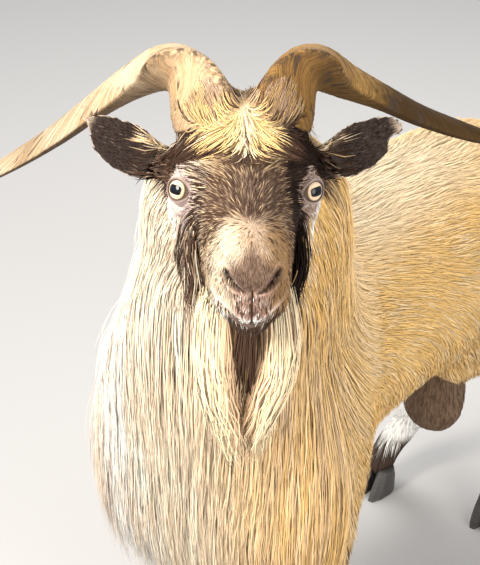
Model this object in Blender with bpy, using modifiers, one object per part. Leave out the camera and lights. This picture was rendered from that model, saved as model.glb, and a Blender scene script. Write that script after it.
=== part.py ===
"""A life-size standing goat: a bearded, long-horned dwarf buck with a deep chest mane.

The goat faces -Y and its left side is +X.  The soft body is modelled whole out to the
tips of its coat, and thin slabs then part it into head, neck, trunk, legs and tail.
Horns, eyes, ears, hooves, beard and mane are solids of their own.
"""
import math
from collections import namedtuple

import bmesh
import bpy
import numpy as np
from mathutils import Matrix, Vector

# Driving dimensions, in metres.
WITHERS_HEIGHT = 0.607      # floor to the coat over the shoulders
EYE_HEIGHT = 0.765          # floor to the middle between the eyes
HEAD_SIDE_SHIFT = 0.113     # the head is carried this far to the goat's left
HEAD_REACH = 0.404          # and this far ahead of the middle of the trunk
HEAD_TURN = math.radians(38)   # the face is turned towards the goat's left
EYE_RADIUS = 0.0135
EYE_HALF_SPACING = 0.0508   # from the middle plane of the head to an eyeball's centre
EYE_FORWARD = 0.003         # an eyeball's centre ahead of the eye line
EYE_RISE = 0.002            # and above it
HOOF_WIDTH = 0.023          # one claw
HOOF_LENGTH = 0.056
HOOF_HEIGHT = 0.034
CLAW_SPREAD = 0.0125        # from the middle of the foot to the middle of a claw
DEWCLAW_HEIGHT = 0.062
EAR_LENGTH = 0.098
EAR_HALF_WIDTH = 0.0235
EAR_THICKNESS = 0.0045
FOREFOOT = (0.087, -0.212)  # where a forefoot stands, x mirrored for the right one
HIND_FOOT_LEFT = (0.070, 0.268)
HIND_FOOT_RIGHT = (-0.092, 0.236)

GAP = 0.0005                # air left between two solids that meet
PARTING = 0.0006            # thickness of the slabs that part the body
SMALLEST_PART = 1e-6        # cubic metres; anything less is a crumb of a cut
VOXEL = 0.0045              # grain at which the soft volumes are merged
HEAD_TRIANGLES = 1400
BODY_TRIANGLES = 1800
MANE_TRIANGLES = 460
BEARD_TRIANGLES = 150

X_AXIS = np.array((1.0, 0.0, 0.0))
FORWARD = np.array((0.0, -1.0, 0.0))
UP = np.array((0.0, 0.0, 1.0))

# One cross-section of a loft: a closed oval around center, half_width to each side,
# front towards rise and back away from it; power 2 is an ellipse, more is squarer.
Section = namedtuple("Section", "center side rise half_width front back power")

HEAD_FORWARD = np.array((math.sin(HEAD_TURN), -math.cos(HEAD_TURN), 0.0))
HEAD_LEFT = np.array((math.cos(HEAD_TURN), math.sin(HEAD_TURN), 0.0))
EYE_MIDDLE = np.array((HEAD_SIDE_SHIFT, -HEAD_REACH, EYE_HEIGHT))


def head_point(forward, left, up):
    """A place given from the middle between the eyes, along the turned head."""
    return EYE_MIDDLE + forward * HEAD_FORWARD + left * HEAD_LEFT + up * UP


# ---------------------------------------------------------------- building tools

def new_collection(name):
    collection = bpy.data.collections.new(name)
    bpy.context.scene.collection.children.link(collection)
    return collection


def make_object(name, mesh, collection):
    obj = bpy.data.objects.new(name, mesh)
    collection.objects.link(obj)
    return obj


def make_cutter(name, mesh, cutters):
    cutter = make_object(name, mesh, cutters)
    cutter.hide_render = True
    cutter.display_type = "WIRE"
    return cutter


def material(name, color, roughness):
    found = bpy.data.materials.get(name)
    if found:
        return found
    made = bpy.data.materials.new(name)
    made.use_nodes = True
    shader = made.node_tree.nodes["Principled BSDF"]
    shader.inputs["Base Color"].default_value = (*color, 1.0)
    shader.inputs["Roughness"].default_value = roughness
    shader.inputs["Metallic"].default_value = 0.0
    return made


COAT_CREAM = ("coat_cream", (0.72, 0.60, 0.42), 0.85)
COAT_DARK = ("coat_dark", (0.09, 0.06, 0.045), 0.85)
SKIN_GREY = ("bare_skin_grey", (0.24, 0.19, 0.16), 0.75)
HORN_TAN = ("horn_tan", (0.45, 0.31, 0.17), 0.55)
HOOF_GREY = ("hoof_grey", (0.07, 0.065, 0.06), 0.6)
EYE_AMBER = ("eye_amber", (0.62, 0.50, 0.25), 0.15)


def smooth_steps(values, steps):
    """Catmull-Rom points through the rows of values, with steps points per span."""
    padded = np.vstack((2 * values[0] - values[1], values, 2 * values[-1] - values[-2]))
    rows = []
    for index in range(1, len(padded) - 2):
        p0, p1, p2, p3 = padded[index - 1:index + 3]
        for step in range(steps):
            t = step / steps
            rows.append(0.5 * (2 * p1 + (p2 - p0) * t
                               + (2 * p0 - 5 * p1 + 4 * p2 - p3) * t * t
                               + (3 * p1 - p0 - 3 * p2 + p3) * t ** 3))
    rows.append(padded[-2])
    return np.array(rows)


def oval(section, points):
    """The corner points of one cross-section, counted from +side towards rise."""
    angles = np.arange(points) * 2 * math.pi / points
    across, along = np.cos(angles), np.sin(angles)
    bend = 2.0 / section.power
    across = np.sign(across) * np.abs(across) ** bend * section.half_width
    reach = np.where(along > 0, section.front, section.back)
    along = np.sign(along) * np.abs(along) ** bend * reach
    return section.center + np.outer(across, section.side) + np.outer(along, section.rise)


def sections_between(sections, steps):
    """The same sections with steps - 1 smooth ones added in every gap."""
    rows = np.array([np.hstack((s.center, s.side, s.rise, s.half_width, s.front, s.back,
                                s.power)) for s in sections])
    smooth = []
    for row in smooth_steps(rows, steps):
        side = row[3:6] / np.linalg.norm(row[3:6])
        rise = row[6:9] / np.linalg.norm(row[6:9])
        width, front, back, power = row[9:13]
        smooth.append(Section(row[0:3], side, rise, max(width, 0.001), max(front, 0.001),
                              max(back, 0.001), power))
    return smooth


def closed_tube(rings):
    """A bmesh skinned over rings of points, its two ends closed flat."""
    mesh = bmesh.new()
    loops = [[mesh.verts.new(point) for point in ring] for ring in rings]
    count = len(loops[0])
    for lower, upper in zip(loops, loops[1:]):
        for index in range(count):
            following = (index + 1) % count
            mesh.faces.new((lower[index], lower[following], upper[following], upper[index]))
    mesh.faces.new(reversed(loops[0]))
    mesh.faces.new(loops[-1])
    bmesh.ops.recalc_face_normals(mesh, faces=mesh.faces)
    bmesh.ops.triangulate(mesh, faces=mesh.faces)
    return mesh


def to_mesh(name, source):
    mesh = bpy.data.meshes.new(name)
    source.to_mesh(mesh)
    source.free()
    return mesh


def loft(name, sections, steps=4, points=20):
    rings = [oval(section, points) for section in sections_between(sections, steps)]
    return to_mesh(name, closed_tube(rings))


def ellipsoid(name, center, axes, radii, segments=16):
    """An egg-round volume: radii along the three axes, which are unit vectors."""
    source = bmesh.new()
    bmesh.ops.create_uvsphere(source, u_segments=segments,
                              v_segments=segments * 5 // 8, radius=1.0)
    turn = Matrix([(*(axes[0][row] * radii[0], axes[1][row] * radii[1],
                      axes[2][row] * radii[2]), center[row]) for row in range(3)]
                  + [(0.0, 0.0, 0.0, 1.0)])
    source.transform(turn)
    bmesh.ops.recalc_face_normals(source, faces=source.faces)
    return to_mesh(name, source)


def evaluated_mesh(obj):
    """The object's mesh with its modifiers applied, in world space."""
    bpy.context.view_layer.update()
    graph = bpy.context.evaluated_depsgraph_get()
    mesh = bpy.data.meshes.new_from_object(obj.evaluated_get(graph))
    mesh.transform(obj.matrix_world)
    return mesh


def merge_volumes(name, meshes, collection, voxel=VOXEL, smoothing=6):
    """Merge overlapping volumes into one soft closed surface."""
    joined = bmesh.new()
    for mesh in meshes:
        joined.from_mesh(mesh)
        bpy.data.meshes.remove(mesh)
    merged = make_object(name, to_mesh(name, joined), collection)
    remesh = merged.modifiers.new("merge", "REMESH")
    remesh.mode = "VOXEL"
    remesh.voxel_size = voxel
    soften(merged, smoothing)
    return merged


def soften(obj, rounds):
    smooth = obj.modifiers.new("soften", "SMOOTH")
    smooth.factor = 0.5
    smooth.iterations = rounds
    apply_modifiers(obj)


def apply_modifiers(obj):
    obj.data = evaluated_mesh(obj)
    obj.modifiers.clear()


def thin_out(obj, triangles):
    """Reduce a mesh to about that many triangles."""
    obj.data.calc_loop_triangles()
    decimate = obj.modifiers.new("thin_out", "DECIMATE")
    decimate.ratio = min(1.0, triangles / len(obj.data.loop_triangles))
    decimate.use_collapse_triangulate = True
    apply_modifiers(obj)


def subtract(obj, cutter):
    """Cut one solid out of another and keep the result as plain mesh."""
    boolean = obj.modifiers.new("cut", "BOOLEAN")
    boolean.operation = "DIFFERENCE"
    boolean.solver = "EXACT"
    boolean.object = cutter
    apply_modifiers(obj)


def grown_cutter(obj, gap, cutters):
    """A cutter the shape of obj, larger by gap all round."""
    cutter = make_cutter(obj.name + "_clearance", obj.data.copy(), cutters)
    grow = cutter.modifiers.new("grow", "DISPLACE")
    grow.strength = gap
    grow.mid_level = 0.0
    return cutter


def islands_of(obj):
    """The separate closed bodies of a mesh, each as its own bmesh."""
    whole = bmesh.new()
    whole.from_mesh(obj.data)
    whole.verts.ensure_lookup_table()
    unseen = set(range(len(whole.verts)))
    found = []
    while unseen:
        pending = [unseen.pop()]
        group = set(pending)
        while pending:
            vertex = whole.verts[pending.pop()]
            for edge in vertex.link_edges:
                other = edge.other_vert(vertex).index
                if other in unseen:
                    unseen.discard(other)
                    group.add(other)
                    pending.append(other)
        piece = whole.copy()
        piece.verts.index_update()
        spare = [vertex for vertex in piece.verts if vertex.index not in group]
        bmesh.ops.delete(piece, geom=spare, context="VERTS")
        found.append(piece)
    whole.free()
    return found


def keep_largest_body(obj):
    """Drop the crumbs that a cut can leave beside the main body."""
    bodies = islands_of(obj)
    bodies.sort(key=lambda body: abs(body.calc_volume()))
    obj.data = to_mesh(obj.name, bodies.pop())
    for crumb in bodies:
        crumb.free()


# ---------------------------------------------------------------- soft body

def level_section(y, top, bottom, widest, half_width, power=2.2):
    """An upright section of the trunk, given by the heights of its coat."""
    return Section(np.array((0.0, y, widest)), X_AXIS, UP, half_width, top - widest,
                   widest - bottom, power)


def trunk_volumes():
    """Ribcage, belly, loin and rump along Y, with shoulders and thighs laid on."""
    back = WITHERS_HEIGHT
    sections = (
        level_section(-0.315, back - 0.125, 0.375, 0.430, 0.050),
        level_section(-0.275, back - 0.045, 0.330, 0.432, 0.096),
        level_section(-0.205, back - 0.004, 0.304, 0.440, 0.116, power=2.0),
        level_section(-0.120, back, 0.308, 0.446, 0.121, power=2.0),
        level_section(-0.030, back - 0.005, 0.321, 0.446, 0.126, power=2.0),
        level_section(0.060, back - 0.012, 0.318, 0.440, 0.131, power=2.0),
        level_section(0.140, back - 0.024, 0.306, 0.430, 0.130, power=2.1),
        level_section(0.215, back - 0.034, 0.322, 0.440, 0.119),
        level_section(0.280, back - 0.048, 0.350, 0.450, 0.104),
        level_section(0.328, back - 0.075, 0.390, 0.455, 0.082),
        level_section(0.352, back - 0.114, 0.430, 0.458, 0.045),
    )
    volumes = [loft("trunk", sections, points=28)]
    for side in (1.0, -1.0):
        slope = Vector((0.0, 0.35, 1.0)).normalized()
        shoulder = (np.array((side, 0.0, 0.0)), np.array(slope),
                    np.array(slope.cross(Vector((side, 0.0, 0.0)))))
        volumes.append(ellipsoid("shoulder", (side * 0.078, -0.205, 0.430), shoulder,
                                 (0.054, 0.150, 0.085)))
    return volumes


def neck_volumes():
    """The thick maned neck, bent towards the goat's left up to the poll."""
    stations = (
        # centre                      turn  half width  to throat  to crest
        ((0.000, -0.165, 0.440), 0.00, 0.112, 0.130, 0.110),
        ((0.004, -0.225, 0.515), 0.10, 0.110, 0.122, 0.108),
        ((0.018, -0.264, 0.590), 0.28, 0.106, 0.112, 0.096),
        ((0.037, -0.292, 0.660), 0.48, 0.104, 0.096, 0.082),
        ((0.055, -0.320, 0.722), 0.62, 0.096, 0.074, 0.066),
        ((0.068, -0.341, 0.762), 0.66, 0.072, 0.048, 0.050),
    )
    centers = np.array([row[0] for row in stations])
    tangents = np.gradient(centers, axis=0)
    sections = []
    for (center, turn, half_width, throat, crest), tangent in zip(stations, tangents):
        tangent = tangent / np.linalg.norm(tangent)
        side = np.array((math.cos(turn), math.sin(turn), 0.0))
        side = side - tangent * side.dot(tangent)
        side = side / np.linalg.norm(side)
        sections.append(Section(np.array(center), side, np.cross(side, tangent),
                                half_width, throat, crest, 2.1))
    return [loft("neck", sections, points=28)]


def head_section(forward, top, bottom, half_width, middle=None):
    if middle is None:
        middle = (top + bottom) / 2
    return Section(head_point(forward, 0.0, middle), HEAD_LEFT, UP, half_width,
                   top - middle, middle - bottom, 2.3)


def head_volumes():
    """Skull and muzzle along the turned head, with brows, cheeks, lips and chin."""
    sections = (
        head_section(-0.100, 0.020, -0.050, 0.036),
        head_section(-0.082, 0.043, -0.078, 0.056),
        head_section(-0.052, 0.055, -0.100, 0.066),
        head_section(-0.022, 0.054, -0.107, 0.064, middle=-0.010),
        head_section(0.002, 0.048, -0.105, 0.055, middle=-0.012),
        head_section(0.024, 0.041, -0.100, 0.047, middle=-0.018),
        head_section(0.046, 0.035, -0.093, 0.041, middle=-0.024),
        head_section(0.070, 0.029, -0.085, 0.037, middle=-0.030),
        head_section(0.096, 0.023, -0.078, 0.034, middle=-0.032),
        head_section(0.118, 0.015, -0.071, 0.030, middle=-0.032),
        head_section(0.132, 0.004, -0.058, 0.023, middle=-0.027),
        head_section(0.139, -0.006, -0.044, 0.013, middle=-0.025),
    )
    volumes = [loft("skull", sections, points=24)]
    axes = (HEAD_FORWARD, HEAD_LEFT, UP)
    for side in (1.0, -1.0):
        mounds = (
            ("brow", -0.006, 0.041, 0.023, 0.034, 0.019, 0.010),
            ("cheekbone", -0.028, 0.050, -0.022, 0.040, 0.019, 0.022),
            ("jaw", -0.026, 0.037, -0.062, 0.048, 0.026, 0.042),
            ("nostril", 0.121, 0.015, -0.012, 0.016, 0.012, 0.012),
            ("lip", 0.107, 0.019, -0.036, 0.030, 0.018, 0.019),
        )
        for name, forward, left, up, length, width, height in mounds:
            volumes.append(ellipsoid(name, head_point(forward, side * left, up), axes,
                                     (length, width, height)))
    volumes.append(ellipsoid("chin", head_point(0.100, 0.0, -0.065), axes,
                             (0.027, 0.021, 0.014)))
    volumes.append(ellipsoid("forelock", head_point(-0.056, 0.0, 0.046), axes,
                             (0.044, 0.032, 0.017)))
    return volumes


def leg_section(x, y, z, half_width, front, back, power=2.2):
    return Section(np.array((x, y, z)), X_AXIS, FORWARD, half_width, front, back, power)


def foreleg_volumes(side):
    x, y = side * FOREFOOT[0], FOREFOOT[1]
    inward = -side
    sections = (
        leg_section(x + inward * 0.004, y + 0.028, 0.400, 0.040, 0.055, 0.052),
        leg_section(x, y + 0.022, 0.325, 0.035, 0.040, 0.047),
        leg_section(x, y + 0.014, 0.260, 0.029, 0.031, 0.035),
        leg_section(x, y + 0.006, 0.205, 0.0265, 0.028, 0.028),
        leg_section(x, y + 0.004, 0.180, 0.026, 0.028, 0.027),
        leg_section(x, y + 0.006, 0.145, 0.0205, 0.022, 0.024),
        leg_section(x, y + 0.007, 0.105, 0.0195, 0.020, 0.023),
        leg_section(x, y + 0.006, 0.078, 0.0235, 0.023, 0.027),
        leg_section(x, y - 0.004, 0.052, 0.0225, 0.022, 0.026),
        leg_section(x, y - 0.014, 0.030, 0.0250, 0.024, 0.026),
        leg_section(x, y - 0.017, 0.022, 0.0230, 0.021, 0.022),
    )
    return [loft("foreleg", sections)]


def hind_leg_volumes(foot, side):
    """Thigh, hock turned a little inwards, and cannon down to the cloven foot."""
    x, y = foot
    hip, hock = side * 0.072, side * 0.046
    sections = (
        leg_section(0.70 * hip, 0.240, 0.530, 0.030, 0.050, 0.050),
        leg_section(0.90 * hip, 0.234, 0.480, 0.046, 0.084, 0.080),
        leg_section(hip, 0.230, 0.430, 0.052, 0.098, 0.092),
        leg_section(hip + side * 0.003, 0.226, 0.378, 0.051, 0.094, 0.090),
        leg_section(hip, 0.5 * y + 0.118, 0.322, 0.044, 0.076, 0.074),
        leg_section(hip - side * 0.010, y + 0.028, 0.268, 0.035, 0.050, 0.048),
        leg_section(hock, y + 0.048, 0.222, 0.0275, 0.034, 0.034),
        leg_section(hock, y + 0.050, 0.190, 0.0265, 0.031, 0.030),
        leg_section(0.85 * hock + 0.15 * x, y + 0.040, 0.150, 0.0250, 0.028, 0.032),
        leg_section(0.55 * hock + 0.45 * x, y + 0.028, 0.110, 0.0235, 0.025, 0.030),
        leg_section(0.2 * hock + 0.8 * x, y + 0.017, 0.076, 0.0245, 0.024, 0.029),
        leg_section(x, y + 0.002, 0.052, 0.0230, 0.022, 0.027),
        leg_section(x, y - 0.011, 0.030, 0.0250, 0.024, 0.027),
        leg_section(x, y - 0.015, 0.022, 0.0230, 0.021, 0.022),
    )
    return [loft("hind_leg", sections)]


def flank_fold_volumes(side):
    """The fold of skin from the stifle forward to the belly."""
    axes = (X_AXIS, FORWARD, UP)
    return [ellipsoid("flank_fold", (side * 0.080, 0.130, 0.338), axes,
                      (0.034, 0.085, 0.042))]


def tail_volumes():
    sections = (
        leg_section(-0.006, 0.318, 0.508, 0.034, 0.026, 0.026),
        leg_section(-0.006, 0.348, 0.532, 0.033, 0.022, 0.022),
        leg_section(-0.005, 0.376, 0.546, 0.033, 0.019, 0.020),
        leg_section(-0.003, 0.402, 0.542, 0.031, 0.016, 0.018),
        leg_section(0.000, 0.424, 0.522, 0.024, 0.012, 0.014),
        leg_section(0.001, 0.438, 0.496, 0.011, 0.007, 0.007),
    )
    centers = np.array([section.center for section in sections])
    tangents = np.gradient(centers, axis=0)
    turned = []
    for section, tangent in zip(sections, tangents):
        rise = np.cross(tangent / np.linalg.norm(tangent), X_AXIS)
        turned.append(section._replace(rise=rise / np.linalg.norm(rise)))
    return [loft("tail", turned, points=14)]


def scrotum_mesh():
    sections = (
        leg_section(0.002, 0.200, 0.345, 0.024, 0.022, 0.022),
        leg_section(0.004, 0.194, 0.300, 0.026, 0.023, 0.023),
        leg_section(0.006, 0.182, 0.255, 0.038, 0.031, 0.031),
        leg_section(0.008, 0.174, 0.215, 0.043, 0.036, 0.035),
        leg_section(0.009, 0.171, 0.185, 0.036, 0.030, 0.030),
        leg_section(0.009, 0.170, 0.170, 0.018, 0.014, 0.014),
    )
    return loft("scrotum", sections, steps=2, points=10)


# ---------------------------------------------------------------- horns and ears

def horn_path(side):
    """Points along a horn's middle, from inside the poll out to the tip."""
    rows = (
        # forward   left   up    long half  short half  twist
        (-0.055, 0.030, 0.028, 0.035, 0.022, -0.78),
        (-0.068, 0.037, 0.054, 0.038, 0.0225, -0.74),
        (-0.087, 0.048, 0.068, 0.0360, 0.0220, -0.62),
        (-0.107, 0.067, 0.066, 0.0300, 0.0205, -0.42),
        (-0.121, 0.095, 0.047, 0.0215, 0.0160, -0.20),
        (-0.130, 0.128, 0.020, 0.0165, 0.0120, 0.00),
        (-0.136, 0.163, -0.010, 0.0130, 0.0098, 0.10),
        (-0.139, 0.200, -0.036, 0.0105, 0.0082, 0.20),
        (-0.142, 0.232, -0.056, 0.0072, 0.0062, 0.20),
        (-0.146, 0.256, -0.066, 0.0030, 0.0028, 0.20),
    )
    lift = 0.029 if side > 0 else 0.0
    path = []
    for forward, left, up, long_half, short_half, twist in rows:
        outward = max(0.0, (left - 0.10) / 0.10)
        path.append((forward, side * left, up + lift * outward, long_half, short_half,
                     side * twist))
    return np.array(path)


def horn_mesh(side):
    """A keeled, tapering horn that leaves the poll upwards and sweeps outwards."""
    rows = smooth_steps(horn_path(side), 2)
    centers = np.array([head_point(*row[:3]) for row in rows])
    tangents = np.gradient(centers, axis=0)
    points = 10
    angles = np.arange(points) * 2 * math.pi / points
    keel = np.exp(-((angles - math.pi / 2) / 0.45) ** 2)
    rings = []
    for center, tangent, (_, _, _, long_half, short_half, twist) in zip(centers, tangents,
                                                                       rows):
        tangent = tangent / np.linalg.norm(tangent)
        front = HEAD_FORWARD - tangent * HEAD_FORWARD.dot(tangent)
        front = front / np.linalg.norm(front)
        inner = np.cross(tangent, front)
        turned_front = front * math.cos(twist) + inner * math.sin(twist)
        turned_inner = np.cross(tangent, turned_front)
        along = np.sin(angles) * long_half * (1 + 0.10 * keel)
        across = np.cos(angles) * short_half * (1 - 0.25 * np.maximum(0, np.sin(angles)))
        rings.append(center + np.outer(along, turned_front) + np.outer(across, turned_inner))
    return to_mesh("horn", closed_tube(rings))


def ear_mesh(side):
    """A leaf-shaped cupped ear, its hollow side facing forwards."""
    root = head_point(-0.040, side * 0.054, -0.001)
    tip = head_point(-0.072, side * 0.142, 0.034)
    length_axis = (tip - root) / np.linalg.norm(tip - root)
    face = HEAD_FORWARD * 0.93 + UP * 0.20 + HEAD_LEFT * side * 0.10
    face = face - length_axis * face.dot(length_axis)
    face = face / np.linalg.norm(face)
    upward = np.cross(length_axis, face)
    if upward.dot(UP) < 0:
        upward = -upward
    rows, columns = 7, 5
    rings = []
    for row in range(rows + 1):
        t = row / rows
        swell = 0.55 + 0.45 * math.sin(math.pi * min(1.0, 0.10 + 0.72 * t))
        width = EAR_HALF_WIDTH * swell * math.sqrt(1 - max(0.0, (t - 0.40) / 0.615) ** 2.6)
        cup = 0.9 - 0.55 * t
        middle = root + length_axis * EAR_LENGTH * t - upward * 0.004 * math.sin(math.pi * t)
        half_thickness = EAR_THICKNESS / 2 * (1.0 - 0.55 * t)
        front_edge, rear_edge = [], []
        for column in range(columns + 1):
            s = -1 + 2 * column / columns
            bend = s * cup * 1.1
            offset = upward * width * math.sin(bend) / math.sin(max(cup * 1.1, 0.3))
            sink = -face * width * (math.cos(bend) - math.cos(cup * 1.1)) * 1.2
            normal = face * math.cos(bend) - upward * math.sin(bend)
            thickness = half_thickness * (1.0 - 0.5 * s * s)
            front_edge.append(middle + offset + sink + normal * thickness)
            rear_edge.append(middle + offset + sink - normal * thickness)
        rings.append(front_edge + rear_edge[::-1])
    return to_mesh("ear", closed_tube(rings))


# ---------------------------------------------------------------- mane and beard

def mane_volumes():
    """The deep apron of hair from the throat down over the chest and forelegs."""
    rows = (
        # x      y       z     half width  front  back
        (0.040, -0.312, 0.668, 0.072, 0.076, 0.020),
        (0.030, -0.305, 0.625, 0.094, 0.094, 0.045),
        (0.014, -0.294, 0.565, 0.108, 0.097, 0.070),
        (-0.001, -0.282, 0.500, 0.124, 0.098, 0.088),
        (-0.009, -0.270, 0.430, 0.145, 0.096, 0.094),
        (-0.012, -0.262, 0.370, 0.158, 0.092, 0.094),
        (-0.017, -0.252, 0.310, 0.151, 0.084, 0.088),
        (-0.022, -0.243, 0.255, 0.131, 0.068, 0.070),
        (-0.024, -0.238, 0.210, 0.098, 0.046, 0.048),
        (-0.024, -0.236, 0.174, 0.056, 0.020, 0.020),
    )
    sections = [leg_section(*row, power=2.1) for row in rows]
    return [loft("mane", sections, points=28)]


def beard_volumes(side):
    """One half of the forked beard, a plume that curves in to the shared tip."""
    rows = (
        # forward  left   up     half width  front  back
        (0.052, 0.026, -0.074, 0.016, 0.020, 0.030),
        (0.064, 0.030, -0.105, 0.018, 0.022, 0.024),
        (0.070, 0.027, -0.140, 0.018, 0.020, 0.020),
        (0.068, 0.018, -0.175, 0.014, 0.016, 0.015),
        (0.064, 0.009, -0.208, 0.008, 0.009, 0.009),
    )
    sections = [Section(head_point(forward, side * left, up), HEAD_LEFT, HEAD_FORWARD,
                        half_width, front, back, 2.0)
                for forward, left, up, half_width, front, back in rows]
    return [loft("beard", sections, points=16)]


# ---------------------------------------------------------------- feet

def claw_mesh(x, y, side):
    """One half of a cloven hoof, flat underneath, its toe drawn forward."""
    rows = (
        # height, then shares of the hoof's length: toe, heel; of its width: half width
        (0.0, 0.607, 0.393, 0.500),
        (0.35, 0.518, 0.375, 0.487),
        (0.70, 0.375, 0.357, 0.457),
        (1.0, 0.232, 0.286, 0.383),
    )
    points = 10
    inner_flattening, toe_turn_in, lean = 0.88, 0.002, 0.004
    angles = np.arange(points) * 2 * math.pi / points
    to_toe = np.sin(angles)
    rings = []
    for height, toe, heel, half_width in rows:
        reach = np.where(to_toe > 0, toe, heel) * HOOF_LENGTH
        across = np.cos(angles) * half_width * HOOF_WIDTH
        across = np.where(np.sign(across) == -side, across * inner_flattening, across)
        across = across - side * toe_turn_in * np.maximum(0, to_toe)
        rings.append(np.stack((x + across, y - to_toe * reach + height * lean,
                               np.full(points, height * HOOF_HEIGHT)), axis=-1))
    return to_mesh("claw", closed_tube(rings))


def dewclaw_mesh(x, y, z):
    """A small blunt horny knob behind the fetlock."""
    axis = Vector((0.0, 0.62, -0.78))
    source = bmesh.new()
    bmesh.ops.create_cone(source, cap_ends=True, segments=8, radius1=0.0065,
                          radius2=0.0038, depth=0.015)
    source.transform(Matrix.Translation((x, y, z))
                     @ axis.to_track_quat("Z", "Y").to_matrix().to_4x4())
    return to_mesh("dewclaw", source)


def feet(collection):
    """The eight claws and eight dewclaws, named by leg and by side of the foot."""
    spots = (
        # leg          foot x        foot y        dewclaws behind the foot
        ("fore_left", FOREFOOT[0], FOREFOOT[1], 0.028),
        ("fore_right", -FOREFOOT[0], FOREFOOT[1], 0.028),
        ("hind_left", *HIND_FOOT_LEFT, 0.042),
        ("hind_right", *HIND_FOOT_RIGHT, 0.042),
    )
    claw_forward, dewclaw_spread = 0.018, 0.011
    made = []
    for leg, x, y, behind in spots:
        for place, side in (("left", 1.0), ("right", -1.0)):
            claw = claw_mesh(x + side * CLAW_SPREAD, y - claw_forward, side)
            dewclaw = dewclaw_mesh(x + side * dewclaw_spread, y + behind, DEWCLAW_HEIGHT)
            made.append(make_object(f"hoof_{leg}_{place}_claw", claw, collection))
            made.append(make_object(f"dewclaw_{leg}_{place}", dewclaw, collection))
    return made


# ---------------------------------------------------------------- parting the body

def slab(name, center, normal, size, cutters):
    """A thin square plate that parts the body across normal at center."""
    source = bmesh.new()
    bmesh.ops.create_cube(source, size=1.0)
    direction = Vector(normal).normalized()
    source.transform(Matrix.Translation(center)
                     @ direction.to_track_quat("Z", "Y").to_matrix().to_4x4()
                     @ Matrix.Diagonal((size, size, PARTING, 1.0)))
    return make_cutter(name, to_mesh(name, source), cutters)


def box_middle(body):
    corners = np.array([vertex.co for vertex in body.verts])
    return (corners.min(axis=0) + corners.max(axis=0)) / 2


def named_islands(obj, centers, collection):
    """Turn each separate body of obj into an object named for the nearest center."""
    bodies = [body for body in islands_of(obj) if abs(body.calc_volume()) > SMALLEST_PART]
    bpy.data.objects.remove(obj)
    parts = {}
    for name, center in centers.items():
        nearest = min(bodies, key=lambda body: np.linalg.norm(box_middle(body) - center))
        bodies.remove(nearest)
        parts[name] = make_object(name, to_mesh(name, nearest), collection)
    return parts


def part_at_throat(flesh, cutters, collection):
    """Separate the head from the body behind the jaw."""
    center = tuple(head_point(-0.058, 0.0, -0.040))
    across = tuple(HEAD_FORWARD * 0.80 + UP * 0.60)
    subtract(flesh, slab("parting_throat", center, across, 0.26, cutters))
    centers = {"head": tuple(head_point(0.02, 0.0, -0.02)), "body": (0.0, 0.0, 0.40)}
    parts = named_islands(flesh, centers, collection)
    return parts["head"], parts["body"]


def part_body(body, cutters, collection):
    """Cut the soft body into neck, trunk, legs and tail."""
    slabs = (
        ("parting_neck", (0.002, -0.236, 0.520), (0.03, -0.72, 0.69), 0.36),
        ("parting_forelegs", (0.0, -0.195, 0.270), (0.0, 0.0, 1.0), 0.30),
        ("parting_hind_legs", (0.0, 0.235, 0.308), (0.0, -0.42, 1.0), 0.32),
        ("parting_tail", (-0.006, 0.352, 0.536), (0.0, 0.90, 0.35), 0.085),
    )
    for name, center, normal, size in slabs:
        subtract(body, slab(name, center, normal, size, cutters))
    centers = {
        "neck": (0.03, -0.28, 0.63),
        "trunk": (0.0, 0.02, 0.45),
        "foreleg_left": (FOREFOOT[0], FOREFOOT[1], 0.15),
        "foreleg_right": (-FOREFOOT[0], FOREFOOT[1], 0.15),
        "hindleg_left": (HIND_FOOT_LEFT[0], HIND_FOOT_LEFT[1], 0.18),
        "hindleg_right": (HIND_FOOT_RIGHT[0], HIND_FOOT_RIGHT[1], 0.18),
        "tail": (-0.003, 0.395, 0.53),
    }
    return named_islands(body, centers, collection)


# ---------------------------------------------------------------- assembly

def paint(obj, finish):
    obj.data.materials.clear()
    obj.data.materials.append(material(*finish))
    obj.data.shade_smooth()
    obj.data.set_sharp_from_angle(angle=math.radians(40))


def stand_at_origin(objects):
    """Move the goat so that the middle of its footprint box is the origin."""
    corners = np.vstack([np.array([vertex.co for vertex in obj.data.vertices])
                         for obj in objects])
    low, high = corners.min(axis=0), corners.max(axis=0)
    shift = Matrix.Translation((-(low[0] + high[0]) / 2, -(low[1] + high[1]) / 2, -low[2]))
    for obj in objects:
        obj.data.transform(shift)


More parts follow.
